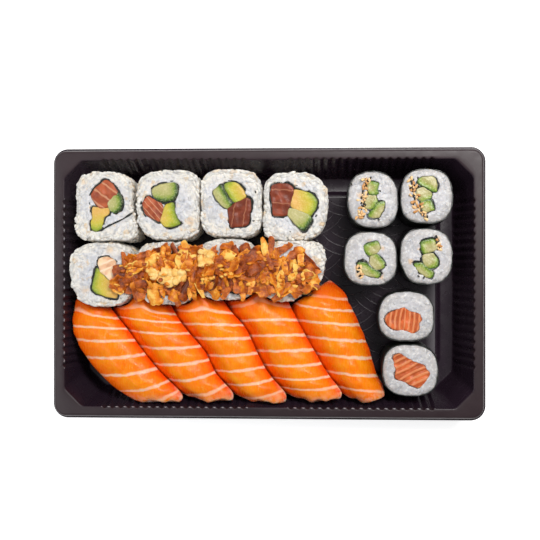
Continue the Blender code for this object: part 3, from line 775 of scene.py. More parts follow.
def roll_core(build, roll, seed, holes, tints, inset, top_drop, lumpy, dome):
    """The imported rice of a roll, level with its cut face and sunk where the fillings stand."""
    steps = 120
    foot = roll.low + 0.6
    top = roll.top - top_drop
    levels = np.concatenate((np.linspace(foot, top - 1.6, 9), (top - 0.9, top - 0.4, top - 0.12, top)))
    insets = np.concatenate((np.full(9, inset), (inset + 0.1, inset + 0.3, inset + 0.7, inset + 1.3)))
    rings = [roll.outline(z, extra, steps) for z, extra in zip(levels, insets)]
    centre = roll.centre(top)
    edge = rings[-1][:, :2]
    rings += [raised(centre + (edge - centre) * share, top) for share in np.linspace(1, 0, 32)[1:-1]]
    points, faces = stacked(rings, (*roll.centre(roll.low), foot), (*centre, top))
    side_rows = len(levels) * steps
    lumps = noise(points, 2.4, seed) * 0.45 + noise(points, 1.2, seed + 1) * 0.18
    lumps = lumps * np.where(points[:, 2] > top - 1.0, 1.0, lumpy)
    out = np.zeros_like(points)
    out[:side_rows, :2] = unit(points[:side_rows, :2] - roll.centre(points[:side_rows, 2]))
    in_plan = points * (1, 1, 0)
    fine = noise(in_plan, 1.5, seed + 2) * 0.6 + noise(in_plan, 3.2, seed + 3) * 0.6
    points = points + out * lumps[:, None]
    points[side_rows - steps:-1, 2] += CUT_RELIEF * fine[side_rows - steps:-1]
    reach = np.linalg.norm(points[:, :2] - centre, axis=1) / roll.radii[-2].mean()
    upper = points[:, 2] > top - 2.0
    points[:, 2] -= np.where(upper, dome * np.clip(reach, 0, 1.2) ** 5, 0)
    tint = np.zeros(len(points))
    for x, y, radius, strength in tints:
        gap = np.linalg.norm(points[:, :2] - roll.middle() - (x, y), axis=1) / radius
        tint = np.maximum(tint, strength * upper * np.clip(1.3 - gap + 0.5 * noise(points, 1.3, 8), 0, 1))
    for outline, growth, gap_seed in holes:
        away = near_path(points[:, :2], outline, True)[0]
        away = np.where(inside(points[:, :2], outline), -away, away)
        sunk = upper & (away < np.clip(gap_width(points, growth, gap_seed) + 0.15, -0.30, 1.5))
        points[sunk, 2] -= HOLE_DEPTH
    rim = np.where(points[:, 2] < top - 1.5, 1.0, np.clip(reach, 0, 1) ** 2)
    build.add(points, faces, rim=rim, stain=0.8 * (lumpy > 0.5), tint=tint, shade=0.4)


# ---------------- grains


def grain_shape():
    """A cooked grain of short rice, one long, one wide and one high, slightly bent, with its faces."""
    turn = np.arange(6) * TAU / 6
    sections = ((-0.44, 0.28), (-0.27, 0.45), (0.0, 0.5), (0.26, 0.465), (0.43, 0.30))
    rings = [np.column_stack((np.full(6, x), r * np.cos(turn) + 0.48 * x * x, r * np.sin(turn)))
             for x, r in sections]
    return stacked(rings, (-0.5, 0.11, 0.0), (0.5, 0.11, 0.0))


GRAIN_POINTS, GRAIN_FACES = grain_shape()


def laid_grains(shape, centres, axes, normals, sizes):
    """Points of many grains at once: each lies along its axis with its normal up."""
    axes = unit(axes - normals * (axes * normals).sum(1, keepdims=True))
    across = np.cross(normals, axes)
    local = shape[None] * sizes[:, None]
    return (centres[:, None] + local[..., :1] * axes[:, None] + local[..., 1:2] * across[:, None]
            + local[..., 2:3] * normals[:, None])


def add_grains(build, points, **values):
    """Add grains, with values given for each grain or for all."""
    count, corners = points.shape[:2]
    offsets = (np.arange(count) * corners)[:, None, None]
    faces = [(rows[None] + offsets).reshape(-1, rows.shape[1]) for rows in GRAIN_FACES]
    values = {name: np.repeat(np.broadcast_to(value, count), corners) for name, value in values.items()}
    build.add(points.reshape(-1, 3), faces, **values)


def grain_sizes(rng, count, *spans):
    """Length, width and height of each grain, drawn from their spans."""
    return np.column_stack([rng.uniform(*span, count) for span in spans])


def scatter(candidates, gap):
    """Choose candidates that stay a gap apart, in their order."""
    chosen = []
    kept = np.empty(candidates.shape)
    for i, point in enumerate(candidates):
        near = ((kept[:len(chosen)] - point) ** 2).sum(1) < gap * gap
        if not near.any():
            kept[len(chosen)] = point
            chosen.append(i)
    return np.array(chosen, int)


SIDE_TRIES = 3200
SIDE_GAP = 2.35
TAN_SHARE = 0.10
FACE_TRIES = 5200


def side_grains(build, roll, rng):
    """Loose grains all round the side of an inside-out roll."""
    angle = rng.uniform(-np.pi, np.pi, SIDE_TRIES)
    z = rng.uniform(roll.low + 0.4, roll.top - 0.9, SIDE_TRIES)
    chosen = scatter(roll.side(angle, z, 0.0), SIDE_GAP)
    angle, z = angle[chosen], z[chosen]
    n = len(chosen)
    tangent = unit(roll.side(angle + 0.02, z, 0.0) - roll.side(angle - 0.02, z, 0.0))
    up = np.tile((0.0, 0.0, 1.0), (n, 1))
    normals = unit(np.cross(tangent, up) + rng.normal(0, 0.16, (n, 3)))
    turn = rng.uniform(0, np.pi, n)
    axes = tangent * np.cos(turn)[:, None] + up * np.sin(turn)[:, None] + rng.normal(0, 0.12, (n, 3))
    sizes = grain_sizes(rng, n, (4.6, 6.0), (2.1, 2.6), (1.9, 2.3))
    centres = roll.side(angle, z, rng.uniform(0.95, 1.45, n))
    # Grains near the cut lie along it, so that none stands up through the cut face.
    near_top = slope(z, roll.top - 3.0, roll.top - 1.0)[:, None]
    axes = unit(axes * (1 - near_top) + tangent * near_top * 1.2)
    centres[:, 2] = np.minimum(centres[:, 2], roll.top - sizes[:, 1] / 2 + 0.15)
    tint = np.where(rng.uniform(0, 1, n) < TAN_SHARE, rng.uniform(0.15, 0.6, n), 0.0)
    tint = np.where(noise(centres, 7.0, 5) > 0.45, np.maximum(tint, rng.uniform(0.1, 0.45, n)), tint)
    points = laid_grains(GRAIN_POINTS, centres, axes, normals, sizes)
    tint = tint * (z > roll.top - 8.0)
    add_grains(build, points, shade=rng.uniform(0, 1, n), tint=tint, rim=1.0, stain=1.0)


def top_grains(build, roll, rng, obstacles, tints, gap, inset, dome, relief, stain, proud):
    """Grains in the cut face, sliced flush, lying along the nori and fillings next to them."""
    box = roll.radii[-2].max()
    middle = roll.middle()

    def polar(spots):
        """Angle and distance from the middle of the roll, and the distance of its side there."""
        away = spots - middle
        angle = np.arctan2(away[:, 1], away[:, 0])
        limit = roll.radius(angle, np.full(len(spots), roll.top - 1.2))
        return angle, np.linalg.norm(away, axis=1), limit

    spots = middle + rng.uniform(-box, box, (FACE_TRIES, 2))
    angle, reach, limit = polar(spots)
    keep = reach < limit - inset
    direction = np.column_stack((np.cos(angle + np.pi / 2), np.sin(angle + np.pi / 2)))
    closest = np.full(FACE_TRIES, 99.0)
    for path, closed, clear in obstacles:
        away, run = near_path(spots, path, closed)
        keep &= away > clear
        if closed:
            keep &= ~inside(spots, path)
        nearer = away < closest
        closest = np.where(nearer, away, closest)
        direction = np.where((nearer & (away < 3.0))[:, None], run, direction)
    places = np.flatnonzero(keep)
    places = places[scatter(spots[places], gap)]
    spots, direction, closest, reach, limit = (a[places] for a in (spots, direction, closest, reach, limit))
    n = len(spots)
    free = slope(np.minimum(closest, limit - reach), 1.4, 3.0)[:, None]
    turn = rng.uniform(0, TAU, n)
    axes = unit(direction * (1 - 0.85 * free) + np.column_stack((np.cos(turn), np.sin(turn))) * free)
    axes = raised(axes, rng.normal(0, 0.06, n))
    normals = unit(raised(rng.normal(0, 0.08, (n, 2)), 1.0))
    sizes = grain_sizes(rng, n, (3.8, 5.4), (2.0, 2.6), (1.5, 2.0))
    z = roll.top - sizes[:, 2] / 2 + rng.uniform(-0.10, 0.22, n) * relief + proud
    z = z - dome * np.clip(reach / limit, 0, 1) ** 5
    tint = np.zeros(n)
    for x, y, radius, strength in tints:
        away = np.linalg.norm(spots - middle - (x, y), axis=1) / radius
        tint = np.maximum(tint, strength * np.clip(1.4 - away, 0, 1) * rng.uniform(0.4, 1.0, n))
    points = laid_grains(GRAIN_POINTS, raised(spots, z), axes, normals, sizes)
    # What stands above the cut is pressed down to it.
    flat = points.reshape(-1, 3)
    share = np.divide(*polar(flat[:, :2])[1:])
    cut = roll.top + proud + 0.10 * relief * noise(flat * (1, 1, 0), 2.6, 9)
    cut = cut - dome * np.clip(share, 0, 1.1) ** 5
    flat[:, 2] -= np.maximum(flat[:, 2] - cut, 0) * 0.85
    points = flat.reshape(points.shape)
    add_grains(build, points, shade=rng.uniform(0, 1, n), tint=tint, rim=(reach / limit) ** 2, stain=stain)


# ---------------- fillings
# Corners in plan from the middle of each roll. A skin runs from one corner to another. A line gives the fat
# lines' angle, pitch, phase and, where they bend, curve.


def strip(kind, *corners, **facts):
    """One strip of filling: its corners, and the course of its fat lines or the corners along its skin."""
    return dict(kind=kind, corners=np.array(corners), **facts)


FILLINGS = {
    "uramaki_1": (
        strip("salmon", (0.3, 13.9), (3.8, 12), (6.9, 7.4), (6.1, 5.1), (2.4, 3), (0.9, -0.8), (-2.9, -1.2),
              (-7.1, 3.8), (-7.7, 6.3), (-4.4, 10.3), line=(-36, 5.4, 0.15)),
        strip("avocado", (-6.7, -0.5), (-2.9, -1.0), (1.9, -1), (2.3, -3.4), (-0.5, -5.7), (-1.3, -9.1),
              (-2.1, -12.4), (-4.8, -13.7), (-7.4, -12.6), (-7.6, -9.1), (-6.6, -6.1), (-7.3, -2.2),
              skin=(6, 8)),
        strip("cucumber", (7, 7.6), (9, 4.7), (9.5, 1.6), (8.4, -1.9), (5.7, -4.1), (2.6, -2.4), (1.2, 0.9),
              (2.5, 3.4), skin=(0, 4)),
    ),
    "uramaki_2": (
        strip("cucumber", (-8.3, 7.8), (-7.0, 9.6), (-1.8, 11.2), (3.4, 12.0), (5.3, 10.8), (5.6, 6.0),
              (3.8, 2.5), (-1.6, 1.4), (-5.2, 2.4), (-7.2, 4.2), skin=(4, 8)),
        strip("salmon", (-10.6, 4.7), (-7.5, 3), (-3.4, 0.5), (-2.3, -2), (-2.7, -5.1), (-4.2, -9.1),
              (-7.5, -7.6), (-11.4, -5.1), (-13.1, -2), (-13.6, 1.1), line=(-48, 2.5, 0.3)),
        strip("avocado", (-0.5, 0.5), (3.3, 1.2), (3.9, -4.4), (5.1, -7.4), (7.4, -10.1), (3.3, -11.4),
              (-1.3, -11.6), (-4, -8.9), (-2.9, -5.9), (-1.9, -2), skin=(1, 5)),
    ),
    "uramaki_3": (
        strip("cucumber", (-10, 6.5), (-5.3, 10), (-3.9, 7.3), (-1.6, 3.1), (0.8, -0.2), (-1.8, -3.2),
              (-5.2, -0.9), (-8.5, 3.1), skin=(1, 4)),
        strip("avocado", (-4.2, 9.8), (-1.4, 11.3), (3.2, 10.5), (6.1, 7.6), (8.4, 3.4), (4.7, 1.2),
              (1.3, 0.1), (-1.3, 3.8), skin=(6, 9)),
        strip("tuna", (8.2, 2.7), (10.5, 1.7), (10.3, -3.1), (9.2, -11.7), (4.8, -12.4), (0.2, -13),
              (-1.2, -9.2), (-1.7, -3), (1.7, -0.4), (4.7, 0.8), line=(80, 6.0, 0.42)),
    ),
    "uramaki_4": (
        strip("tuna", (-12.9, 10.7), (-8.9, 12), (-4.3, 11.9), (-0.9, 8.9), (-2.4, 2.5), (-3.7, -0.6),
              (-4.3, -5), (-12.2, -5), (-12.5, 1.7), (-13.5, 7.1), line=(-4, 7.0, 0.3)),
        strip("avocado", (-1.0, 9), (3.3, 8), (8.6, 6.4), (11.6, 2.4), (10.5, -1.4), (8.3, -5.3),
              (3.3, -3.5), (-3, -0.5), (-2.7, 3.2), skin=(2, 5)),
        strip("cucumber", (-3.6, -0.9), (1.8, -2.5), (5.6, -4.2), (9, -6.9), (4.9, -13.1), (2.5, -12.6),
              (-1.4, -8.2), (-4.4, -4.8), skin=(3, 5)),
    ),
    "uramaki_5": (
        strip("cooked", (-0.7, 9.4), (3.6, 10.2), (7.8, 7.7), (7.8, 3.8), (7.1, -1.6), (5.8, -3.1),
              (2.8, -0.6), (-0.3, 2.3), (-1.4, 6.1), line=(20, 3.5, 0.1)),
        strip("avocado", (-2.3, 4.4), (-0.3, 1.3), (2.3, -1), (5.9, -3.9), (8.1, -6.2), (9.1, -10),
              (8.5, -11.9), (2.1, -11), (-2.6, -9.5), (-5.1, -7), (-4, -2.3), skin=(8, 11)),
    ),
    "hosomaki_cucumber_1": (
        strip("baton", (-2.6, 8.6), (-0.1, 9.6), (3.5, 8.5), (2.3, 5.6), (3.3, 2.7), (-2, 2.4), (-3, 5.6),
              skin=(1, 5)),
        strip("baton", (-3.1, 2.3), (1.8, 2.3), (2.8, -1.3), (0.3, -5.2), (-4.5, -4.5), (-4.9, -2),
              skin=(2, 3)),
        strip("baton", (1.4, -2), (6.3, -1.1), (5.8, -5.1), (3.5, -10), (-2.2, -9.5), (-2.2, -7.2),
              (0.3, -5.1), skin=(5, 8)),
    ),
    "hosomaki_cucumber_2": (
        strip("baton", (-4.7, 9.2), (2.7, 10.8), (4.8, 8.6), (5.5, 2), (3.5, 2), (-0.3, 4.5), (-5, 6.7),
              skin=(3, 7)),
        strip("baton", (-5.4, 3.8), (-1.8, 5), (2.9, 1.5), (2.2, -1.6), (-1.8, -3.1), (-5.9, -0.8),
              skin=(3, 4)),
        strip("baton", (-3.3, -2.9), (-1.7, -2.7), (2.1, -1.9), (3.7, -6.1), (3.9, -7.5), (-0.3, -8.6),
              (-2.9, -7.8), skin=(0, 3)),
    ),
    "hosomaki_cucumber_3": (
        strip("baton", (-4.1, 7.2), (3.7, 9.8), (5.6, 5.3), (3.7, 2.9), (-0.9, 1.2), (-3.2, 3.7),
              skin=(4, 7)),
        strip("baton", (-0.5, 0.9), (3.7, 2.7), (8.3, -2.5), (7.6, -4.7), (2.9, -6.6), (-0.7, -2.4),
              skin=(1, 3)),
        strip("baton", (-7.2, -2.6), (-2.4, -1.8), (0.6, -5.4), (5.6, -7.7), (4.5, -10.1), (-0.9, -9.6),
              (-4.7, -7.7), skin=(0, 4)),
    ),
    "hosomaki_cucumber_4": (
        strip("baton", (-3.3, 7.9), (3.7, 9.5), (6, 6.6), (5.8, 4), (3.7, 2.5), (-1.6, 1.6), (-2.9, 4.2),
              skin=(5, 8)),
        strip("baton", (-2.2, 0.9), (3.7, 2.0), (6.3, -1.9), (6.2, -5.2), (2.2, -6.8), (-1.4, -5.4),
              skin=(2, 4)),
        strip("baton", (-6.8, -4), (-2.4, -3.2), (0.7, -6.4), (4.1, -8.7), (3.1, -10.8), (-0.1, -11.4),
              (-4, -8.2), skin=(0, 4)),
    ),
    "hosomaki_salmon_1": (
        strip("maki_salmon", (-11.6, -1.5), (-9.1, 1.8), (-4.6, 3.4), (-0.8, 4.8), (1.5, 2.5), (7.2, 1.4),
              (8.1, -1.5), (6.3, -3.8), (6.8, -7), (3.4, -9.2), (1.5, -8.2), (-2.3, -7), (-6.8, -7.1),
              (-10.1, -4.9), line=(84, 2.55, 0.1, 0.014)),
    ),
    "hosomaki_salmon_2": (
        strip("maki_salmon", (-8.8, 8), (-5.2, 8.8), (-2.2, 6.4), (3.1, 4.5), (6.9, 2.6), (10.5, -1.4),
              (8.6, -4.6), (4.7, -9.2), (0.1, -7.7), (-3.7, -5.5), (-7.7, -3.9), (-7.6, 0.1), (-8.8, 3.9),
              line=(28, 3.0, 0.4, -0.01)),
    ),
}
# Paths of the nori inside the inside-out rolls, from the middle of each roll.
LOOSE_END = ((-1.4, -12.6), (1.6, -10.9), (4.1, -9.7), (9.6, -7.2), (14.6, -4))
NORI = {
    "uramaki_1": ((-7.4, -14.2), (-8.4, -9.1), (-8.1, -2.2), (-8.7, 3.2), (-8.3, 6.9), (-4.6, 11.2),
                  (0.3, 15), (4.3, 13.1), (8.4, 7.9), (10.4, 2.4), (8.8, -2.8)),
    "uramaki_2": ((9.1, 13.1), (4.3, 12.9), (-2.9, 12.3), (-8.2, 9.7), (-11, 5.9), (-14.5, 1.8),
                  (-14.1, -2.8), (-10.8, -7.6), (-4.4, -10.7), (1.8, -12.5), (8, -11.4)),
    "uramaki_3": ((-11.4, 3.1), (-10.9, 7.7), (-6.8, 11), (-1.4, 12.2), (4, 11.4), (8.8, 5.5), (11.5, 1.6),
                  (11, -6.1), (10.1, -12.1), (4.8, -13.6), (-0.4, -14), (-1.8, -9.2), (-3.9, -4.4)),
    "uramaki_4": ((-12.5, -6), (-13.2, -0.5), (-14.4, 7.1), (-13.6, 11.3), (-8.9, 13), (-2.8, 12.6),
                  (4.1, 9.2), (10.3, 6.6), (12.6, 1.8), (11, -5.9), (5, -14.2), (0.3, -14.4),
                  (-6.6, -12.9), (-10.4, -12)),
    "uramaki_5": ((11, -12.2), (9, -13.3), (2.1, -12.4), (-3, -10.9), (-5.9, -7.5), (-4.8, -1.6),
                  (-2.9, 4.6), (-2, 9.4), (3.6, 11.3), (8.9, 8.6), (10.2, 2.3)),
}
for hidden in SECOND_ROW[1:]:
    FILLINGS[hidden] = FILLINGS["uramaki_5"]
    NORI[hidden] = NORI["uramaki_5"]

FILLING_GROWTH = 0.40


def outward(outline):
    """Directions square to an outline that runs against the clock, pointing away from its inside."""
    course = unit(np.roll(outline, -1, 0) - np.roll(outline, 1, 0))
    return np.column_stack((course[:, 1], -course[:, 0]))


def add_shade_sleeve(build, roll, outline, growth, top_drop, seed):
    """The dark band close round one strip of filling: a nori-coloured sheet of painted shade in the crevice
    between rice and filling, in the inside-out rolls partly the inner nori.
    """
    in_plan = raised(outline)
    thick = gap_width(in_plan, growth, seed) + noise(in_plan, 1.3, seed + 2) * 0.20
    outer = outline + outward(outline) * np.clip(thick, -0.30, 1.4)[:, None]
    top = roll.top - top_drop
    foot = roll.low + 1.0
    centre = outline.mean(0)
    rings = [raised(outer, foot), raised(outer, top - 0.3),
             raised(outline * 0.3 + outer * 0.7, top + noise(in_plan, 1.4, seed + 1) * 0.1),
             raised(outline * 0.9 + centre * 0.1, top - 0.2)]
    build.add(*stacked(rings, (*centre, foot), (*centre, top - 0.2)))


def add_filling(build, roll, spec, seed, top_lift):
    """One strip of filling standing in a roll from its foot to its cut face. Gives its outline."""
    given = spec["corners"] + roll.middle()
    ahead = np.roll(given, -1, 0)
    against_clock = (given[:, 0] * ahead[:, 1] - given[:, 1] * ahead[:, 0]).sum() > 0
    corners = given if against_clock else given[::-1]
    blunt = [corners * 0.88 + np.roll(corners, turn, 0) * 0.12 for turn in (1, -1)]
    outline = resampled(rounded(np.stack(blunt, 1).reshape(-1, 2), 2), 0.5, True)
    centre = outline.mean(0)
    uneven = noise(raised(outline), 2.2, seed) * 0.30 + FILLING_GROWTH
    outline = outline + outward(outline) * uneven[:, None]
    around = len(outline)
    foot = roll.low + 0.8
    top = roll.top + top_lift
    rings = []
    edges = []
    edge_round = ((top - 0.45, 0.03), (top - 0.12, 0.25), (top, 0.55))
    for z, shrink in ((foot, 0), (roll.low + 12, 0), (top - 2.0, 0), *edge_round):
        rings.append(raised(outline + unit(centre - outline) * shrink, z))
        edges.append(np.full(around, shrink * 0.6))
    inner = rings[-1][:, :2]
    radius = np.linalg.norm(inner - centre, axis=1)
    for share in np.linspace(1, 0, max(int(radius.mean() / 0.8), 3) + 1)[1:-1]:
        ring = centre + (inner - centre) * share
        rings.append(raised(ring, top + noise(raised(ring), 2.4, seed + 3) * 0.28))
        edges.append(0.4 + (1 - share) * radius)
    points, faces = stacked(rings, (*centre, foot), (*centre, top))
    values = {"edge": np.concatenate(edges + [[5.0, 0.0]])}
    if "skin" in spec:
        first, last = spec["skin"]
        peel = given[np.arange(first, last + 1) % len(given)]
        peel = rounded(peel + unit(peel - given.mean(0)) * (FILLING_GROWTH + 0.25), 2, False)
        values["skin"] = near_path(points[:, :2], peel)[0]
    if "line" in spec:
        angle, pitch, phase, curve = (*spec["line"], 0.0)[:4]
        turn = math.radians(angle)
        x, y = (points[:, :2] - centre).T
        off = y * math.cos(turn) - x * math.sin(turn)
        on = x * math.cos(turn) + y * math.sin(turn)
        values["band"] = (off + curve * on * on * np.sign(off + 0.01)) / pitch + phase
        values["fatty"] = 1.0
        ridge = np.cos(values["band"] * TAU) * (0.34 if spec["kind"] == "maki_salmon" else 0.10)
        points[around * 5:-1, 2] += ridge[around * 5:-1]
    build.add(points, faces, **values)
    return outline


def add_ribbon(build, path, low, high, thickness, seed, outlines=()):
    """A standing sheet of nori that follows an open path, lost in the rice close beside a filling."""
    line = resampled(rounded(path, 3, False), 0.6)
    course = unit(np.gradient(line, axis=0))
    side = np.column_stack((-course[:, 1], course[:, 0]))
    wave = noise(raised(line), 1.6, seed)
    sink = np.clip(noise(raised(line), 4.5, seed + 50) - 0.25, 0, 1) * 1.2
    for outline in outlines:
        away = near_path(line, outline, True)[0]
        sink = np.maximum(sink, 1.6 * slope(away, 0.5, 0.8) * slope(away, 1.9, 1.5))
    levels = (low, (low + high) / 2, high - 1.0, high)
    rows = []
    for sign in (-1, 1):
        half = sign * thickness / 2 * (1 + 0.8 * wave) + wave * 0.08
        for z in levels[::-sign]:
            rows.append(raised(line + side * half[:, None], z + (wave * 0.12 - sink if z == high else 0.0)))
    build.add(np.stack(rows, 1).reshape(-1, 3), bar_faces(len(line), len(rows)))


rolls = {node: Roll(node) for node in BACK_ROW + SECOND_ROW + THIN_ROLLS}

# Tan patches on the cut faces: place from the middle, radius and strength.
PATCHES = {
    "hosomaki_cucumber_1": ((-6.8, 2.0, 1.8, 0.6), (-6.0, -9.0, 1.2, 0.5)),
    "hosomaki_cucumber_2": ((-5.5, -6.5, 1.8, 0.7), (-8.4, 3.0, 1.0, 0.5)),
    "hosomaki_cucumber_3": ((-7.2, -5.0, 1.8, 0.8), (-5.8, -8.6, 2.0, 0.9), (5.4, -9.2, 1.6, 0.8),
                            (6.4, 5.6, 1.5, 0.5), (-0.8, 9.8, 1.1, 0.4)),
    "hosomaki_cucumber_4": ((5.8, 9.0, 2.0, 0.8), (7.0, 3.8, 1.4, 0.8), (-3.8, 3.6, 1.1, 0.6),
                            (-8.4, -2.8, 1.5, 0.7)),
    "uramaki_1": ((-11.5, 13.0, 1.6, 0.5), (1.5, 18.0, 1.6, 0.6)),
    "uramaki_2": ((12.5, -9.0, 2.6, 0.8), (1.0, 19.0, 1.4, 0.7), (13.8, -14.0, 1.6, 0.5)),
    "uramaki_3": ((2.0, 17.5, 1.8, 0.6), (10.0, -15.0, 1.6, 0.4)),
    "uramaki_4": ((14.0, -9.5, 1.6, 0.7), (1.5, -17.0, 3.2, 0.7), (9.0, 15.5, 1.6, 0.3)),
    "uramaki_5": ((-8.5, -8.0, 2.0, 0.5), (-13.5, -12.5, 1.6, 0.6), (5.0, 14.0, 2.2, 0.5)),
}

# How thick and thin rolls differ: how high their fillings stand, how far the dark bands of painted shade lie
# below the cut, how far grains keep from the fillings, and the shape of the rice core and of the grains in
# the cut face.
THICK_STYLE = dict(lifts=(0.15, -0.05, 0.25), shade_band_drop=0.30, clear=1.3,
                   core=dict(inset=1.2, top_drop=0.15, lumpy=1.0, dome=0.2),
                   face=dict(gap=2.1, inset=1.4, dome=0.1, relief=0.6, stain=0.8, proud=0.02))
THIN_STYLE = dict(lifts=(-0.15, -0.40, -0.25), shade_band_drop=0.50, clear=1.5,
                  core=dict(inset=0.35, top_drop=0.12, lumpy=0.5, dome=0.9),
                  face=dict(gap=2.2, inset=3.2, dome=0.9, relief=0.3, stain=0.0, proud=-0.02))
# How far the rice stands back from a filling. Salmon in a thin roll has rice right against it.
GROWTHS = {"maki_salmon": -0.30, "baton": 0.40}
USUAL_GROWTH = 0.36

filling_builds = {}
nori_and_shade_build = Build()
thick_cores = Build()
thin_cores = Build()
back_grains = Build()
second_grains = Build()
thin_grains = Build()


def add_roll(index, node, roll):
    """The fillings, nori and rice of one roll."""
    rng = np.random.default_rng(100 + index)
    thin = node in THIN_ROLLS
    style = THIN_STYLE if thin else THICK_STYLE
    tints = PATCHES.get(node, ())
    obstacles = []
    holes = []
    for k, spec in enumerate(FILLINGS[node]):
        kind = spec["kind"]
        number = index * 5 + k
        growth = GROWTHS.get(kind, USUAL_GROWTH)
        build = filling_builds.setdefault(kind, Build())
        outline = add_filling(build, roll, spec, 40 + number, style["lifts"][k])
        if kind != "maki_salmon":
            # A dark sleeve of painted shade round each filling except the thin rolls' salmon.
            add_shade_sleeve(nori_and_shade_build, roll, outline, growth, style["shade_band_drop"], 300 + number)
        holes.append((outline, growth, 300 + number))
        obstacles.append((outline, True, style["clear"]))
    foot = roll.low + 0.8
    if node in NORI:
        path = np.array(NORI[node]) + roll.middle()
        add_ribbon(nori_and_shade_build, path, foot, roll.top + 0.14, 0.55, index, [hole[0] for hole in holes])
        obstacles.append((rounded(path, 2, False), False, 1.3))
    if node == "uramaki_1":
        path = np.array(LOOSE_END) + roll.middle()
        add_ribbon(nori_and_shade_build, path, foot, roll.top + 0.20, 0.70, 31)
        obstacles.append((rounded(path, 2, False), False, 1.0))
    roll_core(thin_cores if thin else thick_cores, roll, index * 7, holes, tints, **style["core"])
    grains = thin_grains if thin else back_grains if node in BACK_ROW else second_grains
    if not thin:
        side_grains(grains, roll, rng)
    top_grains(grains, roll, rng, obstacles, tints, **style["face"])


for index, (node, roll) in enumerate(rolls.items()):
    add_roll(index, node, roll)

# Outer and inner colours of the rice; the cool grey of the inner colours is painted shade.
thick_rice = rice_look("uramaki_rice", (0.86, 0.80, 0.70), (0.66, 0.66, 0.69), 0.45, 0.8, 3.0)
thin_rice = rice_look("hosomaki_rice", (0.52, 0.50, 0.49), (0.56, 0.55, 0.57), 0.5, 0.45, 3.6)
nori_material = nori_look()
thick_cores.finish("uramaki_rice_cores", thick_rice, "rice", BACK_ROW + SECOND_ROW)
thin_cores.finish("hosomaki_rice_cores", thin_rice, "rice", THIN_ROLLS)
back_grains.finish("uramaki_back_rice_grains", thick_rice, "rice")
second_grains.finish("uramaki_front_rice_grains", thick_rice, "rice")
thin_grains.finish("hosomaki_rice_grains", thin_rice, "rice")
nori_and_shade_build.finish("inner_nori_and_shade_sleeves", nori_material, "rice", smooth_angle=50)

# Fish: dark and light flesh, lines of fat and their softness.
FISH = {
    "salmon": ("salmon_strips", (0.29, 0.050, 0.018), (0.38, 0.090, 0.032), (0.56, 0.26, 0.14), 0.13),
    "tuna": ("tuna_strips", (0.165, 0.027, 0.010), (0.24, 0.048, 0.020), (0.36, 0.13, 0.065), 0.06),
    "cooked": ("cooked_salmon_strips", (0.72, 0.38, 0.20), (0.86, 0.58, 0.38), (0.90, 0.70, 0.50), 0.2),
    "maki_salmon": ("hosomaki_salmon_strips", (0.46, 0.078, 0.016), (0.58, 0.130, 0.034),
                    (0.72, 0.25, 0.10), 0.30),
}
# Fruit: colours from the skin inwards, roughness and speckle.
FRUIT = {
    "avocado": ("avocado_strips", ((0.0, (0.10, 0.17, 0.006)), (0.13, (0.30, 0.37, 0.012)),
                                   (0.32, (0.56, 0.48, 0.036)), (0.80, (0.70, 0.41, 0.09))), 0.38, 0.20),
    "cucumber": ("cucumber_strips", ((0.05, (0.008, 0.026, 0.002)), (0.13, (0.050, 0.13, 0.006)),
                                     (0.22, (0.24, 0.32, 0.040)), (0.34, (0.38, 0.39, 0.12)),
                                     (0.6, (0.49, 0.45, 0.19))), 0.30, 0.30),
    "baton": ("hosomaki_cucumber_batons", ((0.0, (0.020, 0.070, 0.004)), (0.06, (0.080, 0.18, 0.008)),
                                           (0.15, (0.25, 0.35, 0.035)), (0.28, (0.37, 0.35, 0.12)),
                                           (0.55, (0.49, 0.44, 0.22))), 0.28, 0.35),
}
for kind, build in filling_builds.items():
    name, *colours = (FISH | FRUIT)[kind]
    look = filling_salmon_look if kind in FISH else skin_look
    build.finish(name, look(name, *colours), "rice", smooth_angle=60)

# ---------------- nori round thin rolls


def add_wrap(build, roll, seed):
    """A slightly wrinkled tube of nori with an uneven upper edge."""
    steps = 120
    angle = np.linspace(-np.pi, np.pi, steps + 1)[:-1]
    levels = np.linspace(roll.low + 0.2, roll.top - 1.5, 16)
    rows = []
    for inset, order in ((0.0, levels), (0.45, levels[::-1])):
        for z in order:
            ring = roll.side(angle, np.full(steps, z), inset)
            wrinkle = noise(ring * (1, 1, 0.35), 3.2, seed) * 0.16 + noise(ring, 1.3, seed + 1) * 0.06
            out = unit(ring[:, :2] - roll.centre(ring[:, 2]))
            ring[:, :2] += out * wrinkle[:, None]
            if z == levels[-1]:
                ring[:, 2] += noise(ring, 3.0, seed + 2) * 0.35
                ring[:, :2] -= out * 0.12
            rows.append(ring)
    points = np.concatenate(rows)
    build.add(points, [ring_faces(len(rows) + 1, steps) % len(points)])


wraps = Build()
for index, (node, roll) in enumerate(rolls.items()):
    if node in THIN_ROLLS:
        add_wrap(wraps, roll, 60 + index)
wraps.finish("hosomaki_nori_wraps", nori_material, "rice", smooth_angle=50)

# ---------------- sesame and specks

